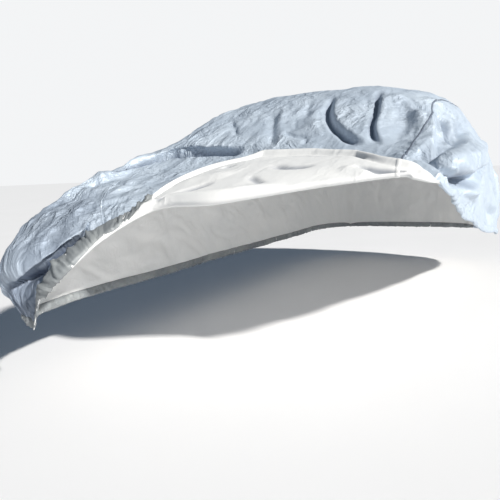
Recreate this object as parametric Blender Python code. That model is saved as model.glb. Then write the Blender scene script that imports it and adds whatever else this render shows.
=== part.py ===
"""Fitted outdoor cover, its front turned back over itself.

Three sewn panels of coated cloth make one hollow form: a centre panel from nose to tail
and a panel down each side. The nose is lifted and laid back over the slope, inner face up,
and the near side hangs short of the ground.

Metres, +Z up. +X is the near side and -Y the nose. The origin is the seat under the
middle of the roof, on which the hollow cover hangs.
"""

from typing import NamedTuple

import bpy
import numpy as np

# Cloth and making-up
CLOTH = 0.003  # thickness of the coated cloth
HEM_BEAD = 0.006  # thickness of the elastic hem at the cloth's edge
SEAM_GAP = 0.0003  # clearance between the panels along a seam
HEM_STEP = 0.12  # where the hem's bead begins, as a share of the outermost interval

# Where the form stands: stations run from the front datum, heights from the ground
SEAT_STATION = 1.38
SEAT_HEIGHT = 1.4535

# Finish of the coated face
SILVER = (0.50, 0.56, 0.64, 1.0)
SILVER_ROUGHNESS = 0.42
SILVER_METALLIC = 0.25

# The turned-back nose
TURN_ROWS = 3  # facets round the rolled crease
BACK_ROWS = 8  # rows of the turned-back cloth
EDGE_LIFT = 0.6  # height of the turned-back edge, as a share of its lift

# Rows of cloth between one rib and the next, and columns between one line and the next
RIB_STEPS = (3, 3, 3, 4, 5, 4, 3, 3, 3, 3, 2, 2, 2)
LINE_STEPS = (2, 4, 4, 4, 7, 6, 4, 5, 4, 2)

LINES = (
    "near_hem",
    "near_skirt",
    "near_belt",
    "near_seam",
    "near_brow",
    "crown",
    "far_brow",
    "far_seam",
    "far_belt",
    "far_skirt",
    "far_hem",
)


class Rib(NamedTuple):
    """One cross curve of the form: a point (x, station, height) on each line, in metres."""

    name: str
    near_hem: tuple
    near_skirt: tuple
    near_belt: tuple
    near_seam: tuple
    near_brow: tuple
    crown: tuple
    far_brow: tuple
    far_seam: tuple
    far_belt: tuple
    far_skirt: tuple
    far_hem: tuple


RIBS = (
    Rib(
        "crease",
        near_hem=(0.885, 0.00, 0.873),
        near_skirt=(0.855, -0.02, 0.874),
        near_belt=(0.80, -0.04, 0.888),
        near_seam=(0.735, -0.045, 0.90),
        near_brow=(0.487, -0.13, 0.875),
        crown=(0.06, -0.31, 0.817),
        far_brow=(-0.28, -0.345, 0.785),
        far_seam=(-0.40, -0.50, 0.69),
        far_belt=(-0.47, -0.68, 0.555),
        far_skirt=(-0.60, -0.705, 0.45),
        far_hem=(-0.695, -0.685, 0.295),
    ),
    Rib(
        "shelf_front",
        near_hem=(0.886, 0.05, 0.856),
        near_skirt=(0.86, 0.04, 0.876),
        near_belt=(0.81, 0.03, 0.90),
        near_seam=(0.72, 0.02, 0.93),
        near_brow=(0.48, -0.03, 0.925),
        crown=(0.04, -0.14, 0.885),
        far_brow=(-0.33, -0.17, 0.865),
        far_seam=(-0.56, -0.36, 0.82),
        far_belt=(-0.76, -0.69, 0.64),
        far_skirt=(-0.81, -0.735, 0.46),
        far_hem=(-0.77, -0.67, 0.315),
    ),
    Rib(
        "shelf_back",
        near_hem=(0.888, 0.12, 0.83),
        near_skirt=(0.87, 0.12, 0.874),
        near_belt=(0.83, 0.12, 0.915),
        near_seam=(0.71, 0.11, 0.955),
        near_brow=(0.48, 0.09, 0.96),
        crown=(0.02, 0.06, 0.95),
        far_brow=(-0.40, 0.03, 0.935),
        far_seam=(-0.68, -0.17, 0.905),
        far_belt=(-0.885, -0.58, 0.695),
        far_skirt=(-0.905, -0.64, 0.50),
        far_hem=(-0.85, -0.55, 0.31),
    ),
    Rib(
        "valley",
        near_hem=(0.89, 0.22, 0.80),
        near_skirt=(0.885, 0.22, 0.872),
        near_belt=(0.86, 0.24, 0.94),
        near_seam=(0.70, 0.27, 1.00),
        near_brow=(0.48, 0.27, 1.00),
        crown=(0.0, 0.27, 1.00),
        far_brow=(-0.46, 0.25, 0.99),
        far_seam=(-0.74, 0.10, 0.96),
        far_belt=(-0.88, -0.18, 0.915),
        far_skirt=(-0.95, -0.30, 0.60),
        far_hem=(-0.91, -0.26, 0.31),
    ),
    Rib(
        "slope_low",
        near_hem=(0.885, 0.42, 0.752),
        near_skirt=(0.895, 0.43, 0.86),
        near_belt=(0.88, 0.46, 0.97),
        near_seam=(0.71, 0.52, 1.10),
        near_brow=(0.48, 0.51, 1.13),
        crown=(0.0, 0.50, 1.14),
        far_brow=(-0.48, 0.50, 1.155),
        far_seam=(-0.73, 0.46, 1.12),
        far_belt=(-0.92, 0.30, 0.99),
        far_skirt=(-0.945, 0.22, 0.62),
        far_hem=(-0.915, 0.20, 0.31),
    ),
    Rib(
        "slope_high",
        near_hem=(0.88, 0.72, 0.665),
        near_skirt=(0.90, 0.72, 0.81),
        near_belt=(0.90, 0.74, 0.98),
        near_seam=(0.70, 0.78, 1.20),
        near_brow=(0.47, 0.77, 1.265),
        crown=(0.0, 0.76, 1.30),
        far_brow=(-0.47, 0.77, 1.315),
        far_seam=(-0.70, 0.76, 1.275),
        far_belt=(-0.93, 0.66, 1.00),
        far_skirt=(-0.935, 0.62, 0.64),
        far_hem=(-0.91, 0.60, 0.31),
    ),
    Rib(
        "roof_front",
        near_hem=(0.88, 1.02, 0.59),
        near_skirt=(0.89, 1.00, 0.77),
        near_belt=(0.88, 0.98, 0.97),
        near_seam=(0.67, 0.98, 1.285),
        near_brow=(0.45, 1.00, 1.38),
        crown=(0.0, 1.02, 1.42),
        far_brow=(-0.45, 1.00, 1.405),
        far_seam=(-0.67, 0.98, 1.335),
        far_belt=(-0.90, 0.98, 0.98),
        far_skirt=(-0.92, 1.00, 0.65),
        far_hem=(-0.90, 1.00, 0.32),
    ),
    Rib(
        "roof_top",
        near_hem=(0.87, 1.45, 0.49),
        near_skirt=(0.89, 1.42, 0.72),
        near_belt=(0.87, 1.40, 0.96),
        near_seam=(0.655, 1.40, 1.34),
        near_brow=(0.45, 1.38, 1.42),
        crown=(0.0, 1.38, 1.455),
        far_brow=(-0.45, 1.38, 1.42),
        far_seam=(-0.655, 1.40, 1.34),
        far_belt=(-0.88, 1.40, 0.97),
        far_skirt=(-0.91, 1.42, 0.65),
        far_hem=(-0.89, 1.45, 0.32),
    ),
    Rib(
        "roof_back",
        near_hem=(0.87, 1.95, 0.40),
        near_skirt=(0.885, 1.95, 0.66),
        near_belt=(0.845, 1.96, 0.95),
        near_seam=(0.655, 1.98, 1.345),
        near_brow=(0.45, 2.00, 1.40),
        crown=(0.0, 2.00, 1.44),
        far_brow=(-0.45, 2.00, 1.40),
        far_seam=(-0.65, 1.98, 1.325),
        far_belt=(-0.88, 1.96, 0.95),
        far_skirt=(-0.91, 1.95, 0.64),
        far_hem=(-0.89, 1.95, 0.32),
    ),
    Rib(
        "roof_end",
        near_hem=(0.875, 2.50, 0.34),
        near_skirt=(0.88, 2.48, 0.62),
        near_belt=(0.835, 2.47, 0.93),
        near_seam=(0.64, 2.52, 1.295),
        near_brow=(0.45, 2.58, 1.355),
        crown=(0.0, 2.60, 1.38),
        far_brow=(-0.45, 2.58, 1.355),
        far_seam=(-0.655, 2.56, 1.29),
        far_belt=(-0.885, 2.52, 0.93),
        far_skirt=(-0.905, 2.50, 0.62),
        far_hem=(-0.885, 2.50, 0.32),
    ),
    Rib(
        "tail_top",
        near_hem=(0.85, 2.85, 0.33),
        near_skirt=(0.86, 2.85, 0.62),
        near_belt=(0.81, 2.87, 0.90),
        near_seam=(0.635, 2.91, 1.155),
        near_brow=(0.42, 2.97, 1.21),
        crown=(0.0, 3.00, 1.225),
        far_brow=(-0.42, 2.97, 1.21),
        far_seam=(-0.66, 2.93, 1.16),
        far_belt=(-0.85, 2.90, 0.90),
        far_skirt=(-0.88, 2.87, 0.62),
        far_hem=(-0.86, 2.85, 0.33),
    ),
    Rib(
        "tail_high",
        near_hem=(0.81, 3.08, 0.33),
        near_skirt=(0.82, 3.10, 0.60),
        near_belt=(0.76, 3.15, 0.85),
        near_seam=(0.62, 3.20, 0.96),
        near_brow=(0.38, 3.235, 0.985),
        crown=(0.0, 3.25, 0.985),
        far_brow=(-0.38, 3.235, 0.985),
        far_seam=(-0.62, 3.20, 0.96),
        far_belt=(-0.76, 3.15, 0.85),
        far_skirt=(-0.82, 3.10, 0.60),
        far_hem=(-0.81, 3.08, 0.33),
    ),
    Rib(
        "tail_low",
        near_hem=(0.74, 3.20, 0.33),
        near_skirt=(0.72, 3.26, 0.50),
        near_belt=(0.66, 3.31, 0.62),
        near_seam=(0.55, 3.35, 0.68),
        near_brow=(0.35, 3.375, 0.70),
        crown=(0.0, 3.385, 0.70),
        far_brow=(-0.35, 3.375, 0.70),
        far_seam=(-0.55, 3.35, 0.68),
        far_belt=(-0.66, 3.31, 0.62),
        far_skirt=(-0.72, 3.26, 0.50),
        far_hem=(-0.74, 3.20, 0.33),
    ),
    Rib(
        "tail_hem",
        near_hem=(0.62, 3.29, 0.33),
        near_skirt=(0.56, 3.31, 0.33),
        near_belt=(0.50, 3.325, 0.33),
        near_seam=(0.42, 3.335, 0.33),
        near_brow=(0.28, 3.345, 0.33),
        crown=(0.0, 3.35, 0.33),
        far_brow=(-0.28, 3.345, 0.33),
        far_seam=(-0.42, 3.335, 0.33),
        far_belt=(-0.50, 3.325, 0.33),
        far_skirt=(-0.56, 3.31, 0.33),
        far_hem=(-0.62, 3.29, 0.33),
    ),
)


class TurnBack(NamedTuple):
    """How the nose lies back at one line: its reach, counted in ribs, and its lift in metres."""

    line: str
    reach: float
    lift: float


TURN_BACKS = (
    TurnBack("near_hem", reach=0.60, lift=0.008),
    TurnBack("near_skirt", reach=1.30, lift=0.012),
    TurnBack("near_belt", reach=1.80, lift=0.016),
    TurnBack("near_seam", reach=2.25, lift=0.020),
    TurnBack("near_brow", reach=3.30, lift=0.030),
    TurnBack("crown", reach=3.50, lift=0.034),
    TurnBack("far_brow", reach=2.10, lift=0.030),
    TurnBack("far_seam", reach=0.62, lift=0.020),
    TurnBack("far_belt", reach=0.22, lift=0.014),
    TurnBack("far_skirt", reach=0.12, lift=0.010),
    TurnBack("far_hem", reach=0.10, lift=0.008),
)


class Fold(NamedTuple):
    """A soft ridge (height > 0) or trough (height < 0) between two places on the cover.

    A place is (rib, line), both counted from 0 and fractional between two of them.
    """

    name: str
    start: tuple
    end: tuple
    width: float
    height: float


FOLDS = (
    Fold("slope_hook_upper", (5.1, 4.80), (4.1, 4.58), width=0.055, height=-0.032),
    Fold("slope_hook_lower", (3.9, 4.50), (3.5, 4.15), width=0.055, height=-0.022),
    Fold("slope_hook_ridge", (5.2, 4.50), (4.2, 4.30), width=0.060, height=0.016),
    Fold("slope_pleat_upper", (5.6, 4.17), (4.5, 4.05), width=0.050, height=-0.024),
    Fold("slope_pleat_lower", (4.2, 4.00), (3.5, 3.80), width=0.050, height=-0.020),
    Fold("slope_pleat_ridge", (5.3, 3.85), (4.1, 3.74), width=0.050, height=0.016),
    Fold("slope_arc", (5.5, 3.72), (4.2, 3.33), width=0.050, height=-0.018),
    Fold("slope_post", (4.9, 5.35), (3.9, 5.12), width=0.045, height=-0.018),
    Fold("valley_far", (3.1, 7.35), (3.4, 5.70), width=0.060, height=-0.030),
    Fold("wing_slot", (0.68, 8.55), (0.50, 7.30), width=0.050, height=-0.060),
    Fold("wing_brow", (1.00, 8.45), (0.85, 7.50), width=0.060, height=0.024),
    Fold("wing_crest", (2.2, 8.00), (1.9, 7.40), width=0.080, height=0.024),
    Fold("drape_pocket", (2.6, 1.75), (4.2, 1.35), width=0.045, height=-0.028),
    Fold("drape_facet", (4.9, 1.55), (5.8, 1.05), width=0.060, height=0.020),
    Fold("drape_dimple", (6.4, 0.95), (7.6, 0.60), width=0.070, height=-0.030),
    Fold("near_ear", (4.7, 2.05), (5.1, 2.12), width=0.110, height=0.085),
    Fold("far_ear", (4.9, 7.85), (5.0, 8.05), width=0.120, height=0.060),
    Fold("far_side_upper", (5.2, 8.60), (6.8, 9.20), width=0.090, height=-0.026),
    Fold("far_side_middle", (6.6, 8.30), (8.0, 9.30), width=0.100, height=-0.026),
    Fold("far_side_rear", (8.6, 8.40), (9.4, 9.60), width=0.100, height=-0.026),
    Fold("near_side_rear", (8.4, 1.70), (9.3, 0.60), width=0.100, height=-0.026),
    Fold("roof_slack", (7.4, 4.30), (8.6, 5.60), width=0.120, height=-0.014),
    Fold("tail_sag_near", (10.0, 4.20), (11.6, 3.60), width=0.100, height=-0.024),
    Fold("tail_sag_far", (10.0, 5.80), (11.8, 6.30), width=0.100, height=-0.024),
)


class Panel(NamedTuple):
    """One cut piece: the cloth between two lines."""

    node: str
    first_line: str
    last_line: str


PANELS = (
    Panel("near_panel", "near_hem", "near_seam"),
    Panel("centre_panel", "near_seam", "far_seam"),
    Panel("far_panel", "far_seam", "far_hem"),
)


def sample_places(steps):
    """Fractional places along a row of intervals, each cut into its own number of steps."""
    places = []
    for interval, count in enumerate(steps):
        places.extend(interval + step / count for step in range(count))
    places.append(float(len(steps)))
    return places


def smooth_through(points, places):
    """Smooth curve through points (first axis), read at fractional places along them.

    The slope at each point weighs its two spans by their length, so that a short span
    beside a long one doesn't bulge.
    """
    steps = points[1:] - points[:-1]
    lengths = np.linalg.norm(steps, axis=-1)
    while lengths.ndim > 1:
        lengths = lengths.mean(axis=-1)
    shape = (-1,) + (1,) * (points.ndim - 1)
    spans = lengths.reshape(shape)
    rates = steps / spans
    slopes = np.empty_like(points)
    slopes[0] = rates[0]
    slopes[-1] = rates[-1]
    slopes[1:-1] = (rates[:-1] * spans[1:] + rates[1:] * spans[:-1]) / (spans[1:] + spans[:-1])
    curve = []
    for place in places:
        index = min(int(place), len(points) - 2)
        t = place - index
        curve.append(
            (1.0 - t) ** 2 * (1.0 + 2.0 * t) * points[index]
            + t * (1.0 - t) ** 2 * lengths[index] * slopes[index]
            + t * t * (3.0 - 2.0 * t) * points[index + 1]
            - t * t * (1.0 - t) * lengths[index] * slopes[index + 1]
        )
    return np.array(curve)


def form_net():
    """The ribs as an array (rib, line, xyz), moved so that the seat is the origin."""
    net = np.array([rib[1:] for rib in RIBS], dtype=float)
    return net - np.array((0.0, SEAT_STATION, SEAT_HEIGHT))


def form_surface(rib_places, line_places):
    """The undisturbed form at every pair of rib and line places."""
    across = smooth_through(form_net().transpose(1, 0, 2), line_places)
    return smooth_through(across.transpose(1, 0, 2), rib_places)


def outward_normals(surface):
    """Unit normals of a grid, pointing away from the hollow."""
    along = np.gradient(surface, axis=0)
    across = np.gradient(surface, axis=1)
    normals = np.cross(along, across)
    return normals / np.linalg.norm(normals, axis=2, keepdims=True)


def distance_to_run(points, start, end):
    """Distance of each point from the straight run between start and end."""
    run = end - start
    share = np.clip((points - start) @ run / (run @ run), 0.0, 1.0)
    nearest = start + share[..., None] * run
    return np.linalg.norm(points - nearest, axis=-1)


def add_folds(surface, normals):
    """Push each fold into or out of the surface, fading with distance from its run."""
    folded = surface.copy()
    for fold in FOLDS:
        start = form_surface([fold.start[0]], [fold.start[1]])[0, 0]
        end = form_surface([fold.end[0]], [fold.end[1]])[0, 0]
        distance = distance_to_run(surface, start, end)
        shape = np.exp(-((distance / fold.width) ** 2))
        folded += fold.height * shape[..., None] * normals
    return folded


def turned_back(surface, normals, rib_places, line_places):
    """Rows of the nose that lies back on the cloth behind it, from its free edge to the crease."""
    reach_table = np.array([(turn.reach, turn.lift) for turn in TURN_BACKS])
    lines = np.arange(len(LINES))
    reaches = np.interp(line_places, lines, reach_table[:, 0])
    lifts = np.interp(line_places, lines, reach_table[:, 1])
    rows = np.empty((BACK_ROWS + TURN_ROWS, len(line_places), 3))
    for column, reach in enumerate(reaches):
        lift = lifts[column]
        track = surface[:, column]
        track_normals = normals[:, column]
        for row in range(BACK_ROWS):
            share = 1.0 - row / BACK_ROWS
            place = reach * share
            below = [np.interp(place, rib_places, track[:, axis]) for axis in range(3)]
            upward = np.array([np.interp(place, rib_places, track_normals[:, axis]) for axis in range(3)])
            height = lift * (1.0 - (1.0 - EDGE_LIFT) * share**3)
            rows[row, column] = np.array(below) + height * upward / np.linalg.norm(upward)
        backward = track[1] - track[0]
        backward = backward / np.linalg.norm(backward)
        centre = track[0] + 0.5 * lift * track_normals[0]
        for row in range(TURN_ROWS):
            angle = np.pi * (TURN_ROWS - row) / (TURN_ROWS + 1)
            out = np.cos(angle) * track_normals[0] + np.sin(angle) * backward
            rows[BACK_ROWS + row, column] = centre - 0.5 * lift * out
    return rows


def cloth_grid():
    """Middle surface, half thickness and outward normals of the whole cover, row by row."""
    rib_places = sample_places(RIB_STEPS)
    rib_places.insert(-1, rib_places[-1] - HEM_STEP)
    line_places = sample_places(LINE_STEPS)
    line_places.insert(1, HEM_STEP)
    line_places.insert(-1, line_places[-1] - HEM_STEP)
    plain = form_surface(rib_places, line_places)
    plain_normals = outward_normals(plain)
    main = add_folds(plain, plain_normals)
    back = turned_back(plain, plain_normals, rib_places, line_places)
    middle = np.concatenate((back, main))
    halves = np.full(middle.shape[:2], CLOTH / 2.0)
    main_halves = halves[len(back):]
    main_halves[-2:] = HEM_BEAD / 2.0
    main_halves[:, :2] = HEM_BEAD / 2.0
    main_halves[:, -2:] = HEM_BEAD / 2.0
    return middle, outward_normals(middle), halves, line_places


def trimmed(middle, first, last, is_first, is_last):
    """The columns of one panel, its seam edges drawn back by half the seam's gap."""
    columns = middle[:, first : last + 1].copy()
    if not is_first:
        inward = columns[:, 1] - columns[:, 0]
        columns[:, 0] += SEAM_GAP / 2.0 * inward / np.linalg.norm(inward, axis=1, keepdims=True)
    if not is_last:
        inward = columns[:, -2] - columns[:, -1]
        columns[:, -1] += SEAM_GAP / 2.0 * inward / np.linalg.norm(inward, axis=1, keepdims=True)
    return columns


def sheet_faces(rows, columns):
    """Faces of a closed sheet: outer side, inner side and the strip round its border.

    Both sides share each diagonal, so that a twisted patch keeps its thickness. The
    strip's triangles slope the same way on both sides of a seam, so that the walls of
    neighbouring panels stay parallel.
    """
    layer = rows * columns

    def corner(place, side):
        return side * layer + place[0] * columns + place[1]

    faces = []
    for row in range(rows - 1):
        for column in range(columns - 1):
            start, end = (row, column), (row + 1, column + 1)
            for half in ((start, (row + 1, column), end), (start, end, (row, column + 1))):
                faces.append([corner(place, 0) for place in half])
                faces.append([corner(place, 1) for place in reversed(half)])
    border = [(0, column) for column in range(columns - 1)]
    border += [(row, columns - 1) for row in range(rows - 1)]
    border += [(rows - 1, column) for column in range(columns - 1, 0, -1)]
    border += [(row, 0) for row in range(rows - 1, 0, -1)]
    for place, following in zip(border, border[1:] + border[:1]):
        outer, next_outer = corner(place, 0), corner(following, 0)
        inner, next_inner = corner(place, 1), corner(following, 1)
        if place < following:
            faces.append([outer, next_outer, next_inner])
            faces.append([outer, next_inner, inner])
        else:
            faces.append([outer, next_outer, inner])
            faces.append([next_outer, next_inner, inner])
    return faces


def cloth_material(name):
    """Coated silver cloth."""
    material = bpy.data.materials.new(name)
    material.use_nodes = True
    shader = material.node_tree.nodes["Principled BSDF"]
    shader.inputs["Base Color"].default_value = SILVER
    shader.inputs["Roughness"].default_value = SILVER_ROUGHNESS
    shader.inputs["Metallic"].default_value = SILVER_METALLIC
    material.diffuse_color = SILVER
    return material


def build_panel(panel, middle, normals, halves, line_places):
    """One panel as a closed thin solid."""
    first_place = LINES.index(panel.first_line)
    last_place = LINES.index(panel.last_line)
    first = line_places.index(float(first_place))
    last = line_places.index(float(last_place))
    is_first = first_place == 0
    is_last = last_place == len(LINES) - 1
    columns = trimmed(middle, first, last, is_first, is_last)
    offset = halves[:, first : last + 1, None] * normals[:, first : last + 1]
    outer = (columns + offset).reshape(-1, 3)
    inner = (columns - offset).reshape(-1, 3)
    mesh = bpy.data.meshes.new(panel.node)
    vertices = np.concatenate((outer, inner)).tolist()
    mesh.from_pydata(vertices, [], sheet_faces(*columns.shape[:2]))
    mesh.validate()
    mesh.update()
    mesh.shade_smooth()
    mesh.materials.append(cloth_material(panel.node + "_cloth"))
    cloth = bpy.data.objects.new(panel.node, mesh)
    bpy.context.scene.collection.objects.link(cloth)
    return cloth


def main():
    """Clear the scene and build the three panels."""
    for leftover in list(bpy.data.objects):
        bpy.data.objects.remove(leftover, do_unlink=True)
    middle, normals, halves, line_places = cloth_grid()
    for panel in PANELS:
        build_panel(panel, middle, normals, halves, line_places)


main()
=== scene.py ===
"""Looks of a fitted outdoor cover of silver coated cloth, its nose turned back.

Three sewn panels are shaped as fine sheets on one form, with the main creases laid in one
by one. Elastic casings gather the free edges, felled seams join the panels, and a pale
studio lights the whole.

Metres, +Z up. +X is the near side, -Y the nose, and the origin is the seat under the roof.
"""

import logging
import math
from collections.abc import Iterable
from dataclasses import dataclass, field
from enum import Enum, IntEnum
from typing import NamedTuple

import bpy
import numpy as np
from mathutils import Matrix, Vector


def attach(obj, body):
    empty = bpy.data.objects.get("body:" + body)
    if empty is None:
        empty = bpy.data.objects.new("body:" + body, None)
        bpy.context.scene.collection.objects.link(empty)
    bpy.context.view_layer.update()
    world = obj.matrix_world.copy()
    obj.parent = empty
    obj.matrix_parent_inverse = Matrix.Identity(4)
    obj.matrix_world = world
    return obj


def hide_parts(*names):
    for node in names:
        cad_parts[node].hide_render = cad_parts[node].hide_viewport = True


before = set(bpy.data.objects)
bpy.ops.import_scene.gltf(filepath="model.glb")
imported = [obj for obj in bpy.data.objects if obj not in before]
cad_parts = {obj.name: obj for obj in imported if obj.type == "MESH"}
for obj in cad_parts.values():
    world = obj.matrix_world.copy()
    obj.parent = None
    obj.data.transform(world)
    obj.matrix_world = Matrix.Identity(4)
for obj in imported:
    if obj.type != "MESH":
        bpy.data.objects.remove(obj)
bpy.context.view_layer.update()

logging.basicConfig(level=logging.INFO, format="%(message)s")
LOG = logging.getLogger("cover")

BODY = "root"

Place = tuple[float, float]
Point = tuple[float, float, float]

CLOTH_THICKNESS = 0.0016
HALF_CLOTH = 0.5 * CLOTH_THICKNESS

# The seat under the roof, as a station from the front datum and a height from the ground
SEAT_STATION = 1.38
SEAT_HEIGHT = 1.4535


class Line(IntEnum):
    """The lines that run from nose to tail, from the near hem over the top to the far hem."""

    NEAR_HEM = 0
    NEAR_SKIRT = 1
    NEAR_BELT = 2
    NEAR_SEAM = 3
    NEAR_BROW = 4
    CROWN = 5
    FAR_BROW = 6
    FAR_SEAM = 7
    FAR_BELT = 8
    FAR_SKIRT = 9
    FAR_HEM = 10


class Rib(NamedTuple):
    """One cross curve of the form: a point (x, station, height) on each line."""

    name: str
    near_hem: Point
    near_skirt: Point
    near_belt: Point
    near_seam: Point
    near_brow: Point
    crown: Point
    far_brow: Point
    far_seam: Point
    far_belt: Point
    far_skirt: Point
    far_hem: Point


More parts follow.
